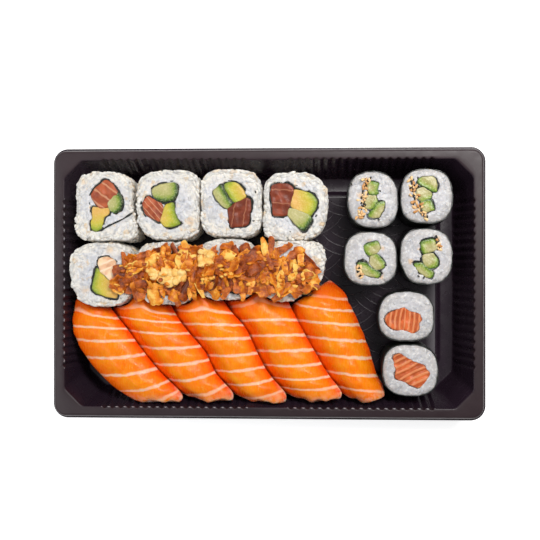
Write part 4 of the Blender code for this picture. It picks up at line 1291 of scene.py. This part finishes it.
SESAME = {
    "hosomaki_cucumber_1": (((-3.2, 10.4), (-4.6, 5.6), (-5.2, 0.3), (-5.6, -4.3), (-6.4, -9.7)), 34, 1.5),
    "hosomaki_cucumber_2": (((-8.0, 8.6), (-7.3, 3.1), (-6.6, -1.5), (-4.6, -6.1), (-0.6, -11.0)), 36, 1.5),
    "hosomaki_cucumber_3": (((-6.8, -4.2), (-5.6, -7.0), (-5.2, -9.4)), 7, 0.9),
    "hosomaki_cucumber_4": (((5.4, 9.8), (6.6, 6.0), (7.1, 2.7)), 5, 0.7),
}
SPECKS = {
    "hosomaki_cucumber_1": ((-4.3, 10.8), (-1.2, 11.5), (3.6, 4.5), (-11.4, 8.0), (3.0, -10.6)),
    "hosomaki_cucumber_2": ((-8.6, 9.8), (-4.8, 9.7), (-9.2, 0.4), (-1.8, -10.2)),
    "hosomaki_cucumber_3": ((-4.2, -0.6), (8.0, -3.4)),
    "hosomaki_cucumber_4": ((-4.2, -10.6), (-1.4, -11.3)),
    "uramaki_3": ((12.2, -9.6), (13.0, 6.0)),
}


SEED_POINTS = GRAIN_POINTS * (1, 0.75, 0.75)
SEED_POINTS[:, 1:] -= 0.5 * GRAIN_POINTS[:, :1] * GRAIN_POINTS[:, 1:]


def add_seeds(build, rng, spots, z, size, spread):
    """Drop shaped seeds or specks lying about a height."""
    n = len(spots)
    turn = rng.uniform(0, TAU, n)
    axes = np.column_stack((np.cos(turn), np.sin(turn), rng.normal(0, spread, n)))
    normals = unit(raised(rng.normal(0, spread, (n, 2)), 1.0))
    sizes = np.array(size) * rng.uniform(0.85, 1.15, (n, 1))
    centres = raised(spots, z + rng.uniform(-0.3, 0.15, n))
    add_grains(build, laid_grains(SEED_POINTS, centres, axes, normals, sizes), tone=rng.uniform(0, 1, n))


seeds = Build()
specks = Build()
rng = np.random.default_rng(300)
for node, (path, count, width) in SESAME.items():
    roll = rolls[node]
    line = resampled(rounded(np.array(path) + roll.middle(), 2, False), 0.3)
    pick = line[rng.integers(0, len(line), count * 6)] + rng.normal(0, width * 0.55, (count * 6, 2))
    chosen = scatter(pick, 1.5)[:int(count * 1.4)]
    add_seeds(seeds, rng, pick[chosen], roll.top + 0.05, (2.8, 2.0, 1.2), 0.40)
    # Painted shade: dark blobs sunk just under the cut along the sesame, for the gaps among the seeds.
    dark = line[::7] + rng.normal(0, 0.35, line[::7].shape)
    add_seeds(specks, rng, dark, roll.top - 0.35, (3.0, 2.6, 1.1), 0.25)
    dark = pick[scatter(pick[::-1], 2.2)[:count // 2]]
    dark = dark + rng.normal(0, 0.5, dark.shape)
    add_seeds(specks, rng, dark, roll.top + 0.15, (1.8, 1.3, 0.8), 0.4)
for node, spots in SPECKS.items():
    roll = rolls[node]
    add_seeds(specks, rng, np.array(spots) + roll.middle(), roll.top, (1.7, 1.3, 0.7), 0.3)
seeds.finish("sesame_seeds", seed_look("toasted_sesame", (0.50, 0.20, 0.04), (0.98, 0.68, 0.33)), "rice")
specks.finish("black_specks_and_painted_shade", seed_look("black_specks_and_painted_shade", (0.006, 0.006, 0.006), (0.03, 0.026, 0.02)), "rice")

# ---------------- nigiri

EDGE_START = 2.0
EDGE_STEP = 13.0
NIGIRI_EDGES = (
    (-98.0, -101.4, -104.3, -99.4, -89.4, -75.0),
    (-98.0, -88.5, -77.0, -67.5, -56.5, -42.0),
    (-63.0, -53.5, -44.5, -33.5, -26.5, -13.0),
    (-31.0, -23.0, -11.3, -5.0, 2.5, 15.0),
    (4.0, 12.3, 19.3, 26.6, 34.5, 46.0),
    (34.0, 45.5, 52.0, 56.8, 60.9, 69.0),
)
# Head and tail give Y at the left and right. Drop, bulge and crest shape the arch. Lines are the Y of the
# lines of fat. Slope and cup say how these lean and bend at the head, and how that changes to the tail.
NIGIRI = (
    dict(head=(-13.7, -13.6), tail=(-64.6, -63.8), bow=0.5, drop=(15.0, 6.8), bulge=6.5, crest=30.6,
         lines=(-17.6, -24.0, -31.1, -40.2, -49.2, -57.3, -63.1), slope=(-4.5, 13.0), cup=(-2.0, 9.0)),
    dict(head=(-14.2, -12.4), tail=(-65.3, -62.4), bow=2.0, drop=(14.5, 6.8), bulge=0.0, crest=31.0,
         lines=(-15.0, -20.0, -26.9, -35.0, -43.8, -51.9, -59.6), slope=(-5.0, 13.0), cup=(-2.0, 11.0)),
    dict(head=(-13.0, -10.6), tail=(-65.4, -63.0), bow=1.0, drop=(14.5, 6.8), bulge=0.0, crest=31.2,
         lines=(-15.0, -21.9, -29.6, -38.8, -46.9, -54.2, -61.1), slope=(-2.0, 7.0), cup=(-5.0, 11.0)),
    dict(head=(-10.9, -10.9), tail=(-65.3, -61.8), bow=1.0, drop=(14.5, 6.8), bulge=0.0, crest=31.0,
         lines=(-11.9, -19.2, -27.7, -36.1, -44.2, -51.5, -56.9), slope=(1.0, 0.0), cup=(-8.0, 15.0)),
    dict(head=(-14.2, 1.0), tail=(-65.4, -60.8), bow=0.0, drop=(14.5, 14.0), bulge=0.0, crest=31.2,
         lines=(-7.3, -13.4, -21.1, -30.0, -39.2, -48.8, -57.3), slope=(-3.0, 0.5), cup=(-1.0, 0.0)),
)
SLICE_TUCK = 2.2
SLICE_THICKNESS = 4.6
SLICE_EDGE = 2.4
CREST = 0.47
TAIL_START = 0.80
TAIL_NARROWING = 0.66
TAIL_SINK = 2.4
HEAD_SINK = 3.2
HEAD_LENGTH = 0.22
LAST_SLICE = len(NIGIRI) - 1


def smooth_between(values, place):
    """Catmull-Rom curve through evenly spaced values."""
    last = len(values) - 1
    i = min(max(int(math.floor(place)), 0), last - 1)
    t = place - i
    before = values[i - 1] if i > 0 else 2 * values[0] - values[1]
    after = values[i + 2] if i + 2 <= last else 2 * values[last] - values[last - 1]
    a, b = values[i], values[i + 1]
    return 0.5 * (2 * a + (b - before) * t + (2 * before - 5 * a + 4 * b - after) * t ** 2
                  + (3 * a - before - 3 * b + after) * t ** 3)


def edge_x(number, y):
    return smooth_between(NIGIRI_EDGES[number], (EDGE_START - y) / EDGE_STEP)


def slice_arch(number, station, shares):
    """Points of the slice's top at shares across its width, and the outward normals in its section."""
    shape = NIGIRI[number]
    y_left, y_right = (a + (b - a) * station for a, b in zip(shape["head"], shape["tail"]))
    tuck = SLICE_TUCK if number else 0.0
    left = np.array((edge_x(number, y_left) - tuck, y_left))
    right = np.array((edge_x(number + 1, y_right), y_right))
    tail = slope(station, TAIL_START, 1)
    head = slope(station, HEAD_LENGTH, 0)
    bow = shape["bow"] * slope(station, 0.30, 0) ** 2
    width_share = math.sqrt(1 - TAIL_NARROWING * tail ** 3.2)
    crest = shape["crest"] - TAIL_SINK * tail ** 1.8 - HEAD_SINK * head ** 2
    drop_left = shape["drop"][0] * (1 - 0.55 * tail ** 1.2)
    drop_right = shape["drop"][1] * (1 - 0.55 * tail)

    def at(share):
        height = crest - drop_left * slope(share, CREST, 0) ** 2.2
        height = height - drop_right * slope(share, CREST, 1) ** 2.3
        spread = 0.58 + (share - 0.58) * width_share
        x = left[0] + (right[0] - left[0]) * spread
        bulge = shape["bulge"] * np.sin(np.pi * np.clip((crest - height) / drop_left, 0, 1))
        x = x - np.where(share < CREST, bulge, 0)
        y = left[1] + (right[1] - left[1]) * spread + bow * np.sin(np.pi * np.clip(share, 0, 1))
        return np.stack((x, y, height), -1)

    across = np.append(unit(right - left), 0.0)
    d = at(np.minimum(shares + 0.01, 1)) - at(np.maximum(shares - 0.01, 0))
    run = np.hypot(d[:, 0], d[:, 1])
    length = np.hypot(run, d[:, 2])
    normal = across * (-d[:, 2] / length)[:, None]
    normal[:, 2] = run / length
    return at(shares), normal


def rolls_front(x):
    """Y of the front of the second row of rolls at each X, at the height of the slices' heads."""
    limit = np.full(len(x), 4.0)
    for node in SECOND_ROW:
        outline = rolls[node].outline(27.0, 0.0, 144)
        lower = outline[outline[:, 1] < rolls[node].middle()[1]]
        lower = lower[lower[:, 0].argsort()]
        limit = np.minimum(limit, np.interp(x, lower[:, 0], lower[:, 1], left=99, right=99))
    return limit


def spaced(*knots):
    """Places from knot to knot, with a number of steps to each knot after the first."""
    runs = [np.linspace(start, end, steps + 1)[:-1] for (start, _), (end, steps) in zip(knots, knots[1:])]
    return np.concatenate((*runs, [knots[-1][0]]))


def fillet(share, span):
    """How far a quarter round of a span has fallen off at shares near 0 and 1."""
    near = slope(np.minimum(share, 1 - share), span, 0)
    return 1 - np.sqrt(1 - near * near)


STATIONS = spaced((0, 0), (0.05, 6), (0.93, 73), (1, 11))
ACROSS = spaced((0, 0), (0.05, 5), (0.95, 43), (1, 5))
UNDER = spaced((1, 0), (0.94, 4), (0.06, 19), (0, 4))[1:-1]
SHARES = np.concatenate((ACROSS, UNDER))
SHARE_ROUND = 0.05


def head_reach(number):
    """How far each column of a slice's head moves on to lie against the rolls."""
    head = slice_arch(number, 0.0, SHARES)[0]
    reach = np.clip(rolls_front(head[:, 0]) - 0.5 - head[:, 1], 0, 1.5 if number == LAST_SLICE else 5.5)
    for _ in range(6):
        reach = np.minimum(reach, 0.5 * reach + 0.25 * (np.roll(reach, 1) + np.roll(reach, -1)))
    return reach


def fat_bands(number, ring, station):
    """A whole number at each fat line, and shares of it between two."""
    shape = NIGIRI[number]
    lines = np.array(shape["lines"])
    count = len(lines)
    places = np.concatenate(([lines[0] + 27], lines, [lines[-1] - 24]))
    numbers = np.concatenate(([-3], np.arange(count), [count + 2]))
    tilt, cup = (start + change * station for start, change in (shape["slope"], shape["cup"]))
    level = ring[:, 1] - tilt * (SHARES - 0.5) - cup * (SHARES - 0.5) ** 2
    return np.interp(-level, -places, numbers)


def slice_ring(number, station, reach):
    """One section of a slice from head to tail, with the values of its looks."""
    seed = 500 + number * 10
    last = number == LAST_SLICE
    tail = slope(station, TAIL_START, 1)
    end = min(station, 1 - station)
    lip = fillet(station, 0.03)
    top, normal = slice_arch(number, station, ACROSS)
    low, low_normal = slice_arch(number, station, UNDER)
    depth = (SLICE_EDGE + (SLICE_THICKNESS - SLICE_EDGE) * np.sin(np.pi * SHARES)) * (1 - 0.35 * tail)
    half_cut = 0.5 * np.maximum(fillet(SHARES, SHARE_ROUND), lip)
    is_top = np.arange(len(SHARES)) < len(ACROSS)
    normals = np.concatenate((normal, low_normal))
    ring = np.concatenate((top, low)) - normals * (depth * np.where(is_top, half_cut, 1 - half_cut))[:, None]
    band = fat_bands(number, ring, station)
    # Each muscle segment is a little full between two fat lines.
    lumps = noise(ring, 5.0, seed) * 0.30 + noise(ring, 2.2, seed + 1) * 0.08 - 0.20 * np.cos(band * TAU)
    rise = lumps * (1 - fillet(SHARES, SHARE_ROUND)) * (1 - lip) * is_top
    ring = ring + normals * rise[:, None]
    ring[:, 1] += reach * slope(station, 0.16, 0) ** 2
    # The left edge goes on a little under the slice next to it.
    if number:
        tuck = slope(SHARES, 0.16, 0) * min(1.0, station / 0.10, (1 - station) / 0.14)
        ring[:, 0] -= 2.4 * tuck
        ring[:, 2] += 0.9 * tuck
    # The head of the last slice is full and round on its free side.
    if last:
        ring[:, 0] += 2.6 * math.sin(math.pi * min(station / 0.18, 1.0)) * slope(SHARES, 0.45, 0.85)
    # Ragged ends and slightly wavy edges.
    rag = 1.1 if station > 0.5 else 0.3
    ring[:, 1] += noise(raised(ring[:, :2]), 4.0, seed + 2) * slope(end, 0.12, 0) * rag
    edge = slope(np.minimum(SHARES, 1 - SHARES), 0.07, 0) * min(tail * 1.6, 1)
    pale = edge * 0.9 + slope(station, 0.90, 1.0) ** 1.5 * 0.75 + np.where(SHARES > 0.9, tail * 0.3, 0)
    # The head by the rolls and the end of the tail are marked for a deeper red: partly the flesh's colour,
    # partly painted shade.
    head = slope(station, 0.20, 0) * slope(SHARES, 0.35, 0.65) if last else slope(station, 0.10, 0)
    deep = np.maximum(head, 0.42 * slope(station, 0.76, 0.96))
    return ring, band, SHARES, np.clip(pale, 0, 1), np.broadcast_to(deep, len(SHARES))


def with_ends(rows, *ends):
    """Values ring by ring, and those of the two middle points at the ends."""
    return np.concatenate((*rows, ends))


def build_slice(number):
    """A salmon slice, arched over its rice."""
    reach = head_reach(number)
    rings, band, across, pale, deep = zip(*[slice_ring(number, station, reach) for station in STATIONS])
    points, faces = stacked(rings, rings[0].mean(0), rings[-1].mean(0))
    build = Build()
    # The tail's middle point comes first of the last two.
    build.add(points, faces, band=with_ends(band, 0.0, 0.0), across=with_ends(across, 0.5, 0.5),
              pale=with_ends(pale, 1.0, 0.0), deep=with_ends(deep, 0.0, 0.0))
    return build


salmon_material = salmon_look()
for number in range(len(NIGIRI)):
    name = f"salmon_slice_{number + 1}"
    build_slice(number).finish(name, salmon_material, "salmon_slice", [f"nigiri_salmon_{number + 1}"])

FINGERS = [f"nigiri_rice_{number}" for number in range(1, 6)]
FINGER_TRIES = 5000
finger_cores = Build()
finger_grains = Build()


def add_finger(node, rng):
    """Rice under a slice: the CAD block as a core, and loose grains over its open sides."""
    corners = [loop.vertex_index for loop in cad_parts[node].data.loops]
    merged, index = np.unique(node_points(node).round(3), axis=0, return_inverse=True)
    triangles = index.reshape(-1)[np.array(corners).reshape(-1, 3)]
    a, b, c = (merged[triangles[:, k]] for k in range(3))
    cross = np.cross(b - a, c - a)
    area = np.linalg.norm(cross, axis=1)
    vertex_normal = np.zeros_like(merged)
    for k in range(3):
        np.add.at(vertex_normal, triangles[:, k], cross)
    finger_cores.add(merged - unit(vertex_normal) * 0.9, [triangles], rim=0.6, stain=0.0, tint=0.0, shade=0.3)
    pick = rng.choice(len(triangles), FINGER_TRIES, p=area / area.sum())
    u, v = rng.uniform(0, 1, (2, FINGER_TRIES))
    u, v = np.where(u + v > 1, 1 - u, u), np.where(u + v > 1, 1 - v, v)
    spots = a[pick] + (b - a)[pick] * u[:, None] + (c - a)[pick] * v[:, None]
    normals = unit(cross)[pick]
    keep = np.flatnonzero(normals[:, 2] > -0.5)
    keep = keep[scatter(spots[keep], 2.5)]
    n = len(keep)
    normals = unit(normals[keep] + rng.normal(0, 0.15, (n, 3)))
    axes = unit(np.cross(normals, rng.normal(0, 1, (n, 3))))
    sizes = grain_sizes(rng, n, (4.6, 5.8), (2.1, 2.6), (1.8, 2.2))
    centres = spots[keep] - normals * rng.uniform(0.95, 1.35, (n, 1))
    points = laid_grains(GRAIN_POINTS, centres, axes, normals, sizes)
    add_grains(finger_grains, points, shade=rng.uniform(0, 1, n), tint=0.0, rim=0.6, stain=0.0)


for number, node in enumerate(FINGERS):
    add_finger(node, np.random.default_rng(700 + number))
finger_cores.finish("nigiri_rice_cores", thick_rice, "rice", FINGERS)
finger_grains.finish("nigiri_rice_grains", thick_rice, "rice")

# ---------------- onion

HEAP = "crispy_onion_heap"
onion_low, onion_high = (np.array(corner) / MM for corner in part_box(HEAP))
heap_points = node_points(HEAP)
stations = np.unique(heap_points[:, 0].round(1))
heap_rows = [heap_points[np.abs(heap_points[:, 0] - x) < 0.06][:, 1] for x in stations]
front_edge = np.array([row.min() for row in heap_rows])
back_edge = np.array([row.max() for row in heap_rows])
HEAP_BASE = onion_low[2]


def heap_share(spots):
    """Place from the front edge, 0, to the back edge, 1."""
    front = np.interp(spots[:, 0], stations, front_edge)
    back = np.interp(spots[:, 0], stations, back_edge)
    return (spots[:, 1] - front) / (back - front)


def fullness(spots):
    """How high the heap is: 1 over most of its middle and 0 at its edges."""
    place = np.clip(heap_share(spots), 0, 1)
    run = slope(spots[:, 0], onion_low[0], onion_high[0])
    across = np.clip(1 - np.abs((place - 0.43) / 0.42) ** 3, 0, 1)
    return across * np.clip(1 - np.abs(2 * run - 1) ** 9, 0, 1)


def core_top(spots):
    in_plan = raised(spots)
    full = fullness(spots) * (1.3 + 0.5 * noise(in_plan, 3.0, 21))
    return HEAP_BASE + 0.3 + full + 0.25 * noise(in_plan, 1.6, 22)


class Pile:
    """Height of the pile over a grid in plan, so that each new flake rests on those below."""

    CELL = 0.6

    def __init__(self):
        self.origin = onion_low[:2] - 8
        size = np.ceil((onion_high[:2] + 8 - self.origin) / self.CELL).astype(int)
        grid = np.stack(np.meshgrid(np.arange(size[0]), np.arange(size[1]), indexing="ij"), -1).reshape(-1, 2)
        self.top = core_top(grid * self.CELL + self.origin).reshape(size)

    def index(self, spots):
        where = ((spots - self.origin) / self.CELL).round().astype(int)
        return tuple(np.clip(where[:, k], 0, self.top.shape[k] - 1) for k in (0, 1))

    def rest(self, points, share):
        """How far to lift the points so that a share of them is clear of the pile."""
        return np.quantile(self.top[self.index(points[:, :2])] - points[:, 2], share)

    def lay(self, points):
        np.maximum.at(self.top, self.index(points[:, :2]), points[:, 2])


def turned(points, heading, tilt, lean):
    """Points rolled about their length, tilted, and turned to a heading."""
    cr, sr, ct, st, ch, sh = (f(a) for a in (lean, tilt, heading) for f in (math.cos, math.sin))
    turn_x = np.array(((1, 0, 0), (0, cr, -sr), (0, sr, cr)))
    turn_y = np.array(((ct, 0, st), (0, 1, 0), (-st, 0, ct)))
    turn_z = np.array(((ch, -sh, 0), (sh, ch, 0), (0, 0, 1)))
    return points @ (turn_z @ turn_y @ turn_x).T


def sheet_faces(rows, columns):
    """Faces of a thin sheet of two equal grids of points, one over the other, and of its rim."""
    places = np.arange(rows * columns).reshape(rows, columns)
    near = places[:-1, :-1].reshape(-1, 1)
    top = near + (0, columns, columns + 1, 1)
    rim = np.concatenate((places[:, 0], places[-1, 1:], places[-2::-1, -1], places[0, -2:0:-1]))
    ahead = np.roll(rim, -1)
    below = rows * columns
    return [top, (top + below)[:, ::-1], np.stack((rim, rim + below, ahead + below, ahead), 1)]


def add_flake(build, pile, rng, spot, turns, size, crumple, tone, seed, ceiling=math.inf):
    """One crumpled, curled flake with a ragged outline, laid on the pile unless it would lie too high."""
    length, width, thickness = size
    rows = max(int(length / 0.95), 5)
    columns = max(int(width / 0.85) + 1, 4)
    u, v = np.meshgrid(np.linspace(-0.5, 0.5, rows), np.linspace(-0.5, 0.5, columns), indexing="ij")

    def rag(first, second, lump, lump_seed):
        places = np.column_stack((first.ravel(), second.ravel(), np.full(u.size, seed * 3.7)))
        return noise(places, lump, lump_seed).reshape(u.shape)

    x = u * length * (1 + 0.22 * rag(np.sign(u) * 4, v * width, 1.7, 71))
    narrow = 1 - rng.uniform(0.25, 0.6) * np.abs(2 * u) ** rng.uniform(1.8, 3.0)
    y = v * width * narrow * (1 + 0.38 * rag(u * length, np.sign(v) * 4, 1.9, 70))
    y = y + rng.uniform(-0.35, 0.35) * length * u ** 2
    fold = crumple * (rag(x, y, 4.2, 72) + 0.30 * rag(x, y, 1.8, 73))
    curl = rng.uniform(-1.3, 1.3) * v ** 2 * width + rng.uniform(-0.9, 0.9) * u ** 2 * length * 0.5
    middle = np.stack((x, y, fold + curl), -1)
    normal = unit(np.cross(np.gradient(middle, axis=0), np.gradient(middle, axis=1)))
    edge = np.maximum(np.abs(2 * u), np.abs(2 * v))
    half = normal * thickness / 2 * (1 - 0.5 * edge ** 5)[..., None]
    points = np.concatenate(((middle + half).reshape(-1, 3), (middle - half).reshape(-1, 3)))
    points = turned(points, *turns) + (*spot, 0.0)
    points[:, 2] += pile.rest(points, 0.55)
    if points[:, 2].max() > ceiling:
        return
    pile.lay(points)
    # Each point's tone: the flake's own tone with noise, lighter where its crumples rise and darker in its
    # creases, and lighter along its rim; this is painted light and shade.
    shade = tone + noise(points, 3.4, 31) * 0.20 + np.tile((fold * 0.20 + 0.05 * (edge > 0.9)).ravel(), 2)
    build.add(points, sheet_faces(rows, columns), tone=shade)


def ball_rings(rows, steps):
    """Rings of a ball of radius one, without its ends."""
    turn = np.arange(steps) * TAU / steps
    heights = np.linspace(-np.pi / 2, np.pi / 2, rows + 2)[1:-1]
    return [raised(np.column_stack((np.cos(turn), np.sin(turn))) * math.cos(a), math.sin(a)) for a in heights]


def add_lump(build, pile, spot, size, tone, seed, sink):
    """A rounded crumb of batter or onion."""
    ball, faces = stacked(ball_rings(9, 14), (0, 0, -1.0), (0, 0, 1.0))
    bumps = noise(ball * 1.6 + seed * 5.1, 1.0, 81) * 0.34 + noise(ball * 3.6 + seed * 5.1, 1.0, 82) * 0.14
    points = ball * (1 + bumps[:, None]) * np.array(size) / 2 + (*spot, 0.0)
    points[:, 2] += pile.rest(points, 0.5) + size[2] * (0.5 - sink)
    pile.lay(points)
    # The tone follows the bumps, lighter where they stand out and darker in the hollows: painted light and
    # shade.
    build.add(points, faces, tone=tone + bumps * 0.35)


# Cream lumps of batter: middle, reach and number of lumps.
CREAM_CLUSTERS = (((-50.3, 3.6), (8.6, 3.8), 17), ((-32.6, 13.8), (3.6, 4.6), 9),
                  ((-60.5, 6.0), (2.6, 2.2), 3))
# Golden strips on top: place, length, width and heading.
GOLDEN = (((14.3, 7.4), 12.0, 4.2, 1.45), ((8.0, 3.0), 10.0, 5.0, 1.3), ((-61.0, 12.5), 9.5, 6.5, 0.6),
          ((-53.5, 9.5), 9.0, 7.0, 1.9), ((-45.0, 13.0), 10.5, 6.0, 1.5), ((-70.5, 8.5), 9.0, 6.0, 0.3),
          ((-80.0, -2.5), 8.0, 4.0, -0.6), ((-20.5, 14.5), 8.5, 6.0, 0.1))
GOLDEN_TOP = 41.4
HEAP_TRIES = 9000
CORE_PLACES = np.array((0.12, 0.16, 0.21, 0.27, 0.34, 0.41, 0.48, 0.55, 0.61, 0.66, 0.70, 0.73))


def heap_spots(rng):
    """Places for flakes in the heap, fewer towards its edges."""
    spots = np.column_stack((rng.uniform(onion_low[0] + 2.0, onion_high[0] - 2.5, HEAP_TRIES),
                             rng.uniform(onion_low[1] + 2.0, onion_high[1] - 2.0, HEAP_TRIES)))
    share = heap_share(spots)
    density = slope(share, 0.10, 0.20) * slope(share, 0.95, 0.75) ** 1.5
    return spots[rng.uniform(0, 1, HEAP_TRIES) < density]


def flake_size(rng, chip, chip_spans, strip_spans):
    """Length and width of a broad chip or a narrow strip."""
    return [rng.uniform(*span) for span in (chip_spans if chip else strip_spans)]


def lay_onion(flakes, batter):
    """The heap from below: a layer of flakes, more flakes, golden strips, cream lumps and crumbs."""
    pile = Pile()
    rng = np.random.default_rng(900)
    spots = heap_spots(rng)
    in_cream = np.zeros(len(spots), bool)
    for centre, reach, count in CREAM_CLUSTERS:
        in_cream |= (((spots - centre) / (np.array(reach) * 0.8)) ** 2).sum(1) < 1
    for k, spot in enumerate(spots[scatter(spots[:3000], 5.2)]):
        chip = rng.uniform() < 0.55
        size = flake_size(rng, chip, ((8, 13), (5.5, 8.5)), ((10, 14), (3.0, 4.4)))
        turns = rng.normal(1.3, 0.9), rng.normal(0, 0.18), rng.normal(0, 0.3)
        size.append(rng.uniform(0.8, 1.2))
        tone = np.clip(rng.normal(0.36, 0.15), 0.05, 0.8)
        add_flake(flakes, pile, rng, spot, turns, size, 1.2 if chip else 0.8, tone, k)
    upper = spots[~in_cream][::-1]
    for k, spot in enumerate(upper[scatter(upper[:3000], 5.4)]):
        chip = rng.uniform() < (0.6 if spot[0] < -42 or spot[0] > 6 else 0.25)
        size = flake_size(rng, chip, ((8, 12.5), (5.5, 8)), ((9, 13), (2.6, 4.0)))
        turns = rng.normal(1.45, 0.8 if chip else 0.45), rng.normal(0, 0.25), rng.normal(0, 0.45)
        size.append(rng.uniform(0.8, 1.2))
        tone = np.clip(rng.normal(0.50, 0.17), 0.05, 0.9)
        ceiling = HEAP_BASE + 3.6 + 3.6 * fullness(spot[None])[0]
        add_flake(flakes, pile, rng, spot, turns, size, 1.3 if chip else 0.8, tone, 500 + k, ceiling)
    for k, (spot, length, width, heading) in enumerate(GOLDEN):
        turns = heading, 0.05, 0.15
        add_flake(flakes, pile, rng, spot, turns, (length, width, 1.0), 1.3, 0.80, 900 + k, GOLDEN_TOP)
    for k, (centre, reach, count) in enumerate(CREAM_CLUSTERS):
        for i in range(count):
            turn = i * 2.4
            out = math.sqrt((i + 0.5) / count) * 0.85
            spot = (centre[0] + reach[0] * out * math.cos(turn), centre[1] + reach[1] * out * math.sin(turn))
            size = rng.uniform(4.2, 6.2), rng.uniform(3.6, 5.0), rng.uniform(2.6, 3.4)
            add_lump(batter, pile, spot, size, rng.uniform(0.60, 0.95), 40 * k + i, 0.45)
    for k, spot in enumerate(spots[rng.permutation(len(spots))[:70]]):
        size = rng.uniform(1.4, 3.4) * np.array((1.0, rng.uniform(0.5, 0.9), rng.uniform(0.4, 0.7)))
        add_lump(flakes, pile, spot, size, rng.uniform(0.25, 0.95), 200 + k, 0.15)


def build_onion_core():
    """A low bank of dark onion that fills the heap under its flakes; its dark tone is partly painted shade in
    the gaps between them.
    """
    rows = []
    for x in np.linspace(onion_low[0] + 3.0, onion_high[0] - 3.5, 90):
        front = np.interp(x, stations, front_edge)
        back = np.interp(x, stations, back_edge)
        row = np.column_stack((np.full(len(CORE_PLACES), x), front + (back - front) * CORE_PLACES))
        rows.append(np.concatenate((raised(row, core_top(row) - 0.2), raised(row[::-1], HEAP_BASE))))
    points = np.concatenate(rows)
    points[:, 2] = np.maximum(points[:, 2], HEAP_BASE + 0.02)
    core = Build()
    # Its low tone is dark brown, painted shade in the gaps between the flakes.
    core.add(points, [faces[:, ::-1] for faces in bar_faces(len(rows), len(rows[0]))], tone=0.2)
    return core


ONION_TONES = ((0.00, (0.130, 0.020, 0.001)), (0.22, (0.320, 0.056, 0.002)), (0.46, (0.580, 0.135, 0.005)),
               (0.70, (0.860, 0.310, 0.016)), (0.92, (0.990, 0.600, 0.130)))
BATTER_TONES = ((0.00, (0.520, 0.150, 0.016)), (0.40, (0.880, 0.400, 0.060)), (0.75, (0.970, 0.560, 0.150)),
                (1.00, (1.000, 0.680, 0.260)))
onion_material = onion_look("crispy_onion", ONION_TONES)
flakes = Build()
batter = Build()
lay_onion(flakes, batter)
build_onion_core().finish("onion_core_and_gap_shade", onion_material, "crispy_onion", [HEAP])
flakes.finish("crispy_onion_flakes", onion_material, "crispy_onion", smooth_angle=60)
batter.finish("batter_crumbs", onion_look("onion_batter", BATTER_TONES), "crispy_onion")

# ---------------- floor, light and camera

FLOOR_Z = -0.0002
LAMP_AIM = (0, 0, 0.02)

floor_mesh = bpy.data.meshes.new("floor")
floor_corners = [(x, y, FLOOR_Z) for x, y in ((-3, -3), (3, -3), (3, 3), (-3, 3))]
floor_mesh.from_pydata(floor_corners, [], [(0, 1, 2, 3)])
floor_look = Look("floor", Roughness=0.7, Emission_Color=(1, 1, 1), Emission_Strength=0.62)
floor_white = floor_look.noise(400.0, 1.0).ramp((0.3, (0.92, 0.92, 0.92)), (0.7, (0.94, 0.94, 0.94)))
floor_look.set(Base_Color=floor_white)
floor_mesh.materials.append(floor_look.material)
floor = bpy.data.objects.new("floor", floor_mesh)
bpy.context.scene.collection.objects.link(floor)


def area_light(name, position, size, power, colour):
    """A square soft lamp that aims at the middle of the food."""
    lamp = bpy.data.lights.new(name, "AREA")
    lamp.shape = "SQUARE"
    lamp.size = size
    lamp.energy = power
    lamp.color = colour
    thing = bpy.data.objects.new(name, lamp)
    thing.location = position
    x, y, z = np.array(LAMP_AIM) - position
    thing.rotation_euler = (math.atan2(math.hypot(x, y), -z), 0, math.atan2(x, -y))
    bpy.context.scene.collection.objects.link(thing)


area_light("key", (0.30, 0.42, 0.82), 0.50, 16.0, (1.0, 0.98, 0.96))
area_light("fill", (-0.58, -0.05, 0.75), 0.7, 7.0, (0.98, 0.98, 1.0))

world = bpy.data.worlds.new("studio")
bpy.context.scene.world = world
world.use_nodes = True
background = world.node_tree.nodes["Background"]
background.inputs["Color"].default_value = (0.98, 0.99, 1.0, 1.0)
background.inputs["Strength"].default_value = 0.35

camera_data = bpy.data.cameras.new("camera")
camera_data.lens = 60
camera_data.sensor_width = 36
camera = bpy.data.objects.new("camera", camera_data)
camera.location = (0.0239, 0.0078, 0.5136)
camera.rotation_euler = (math.radians(-0.05), math.radians(2.62), math.radians(0.01))
bpy.context.scene.collection.objects.link(camera)
bpy.context.scene.camera = camera
bpy.context.scene.view_settings.view_transform = "Standard"
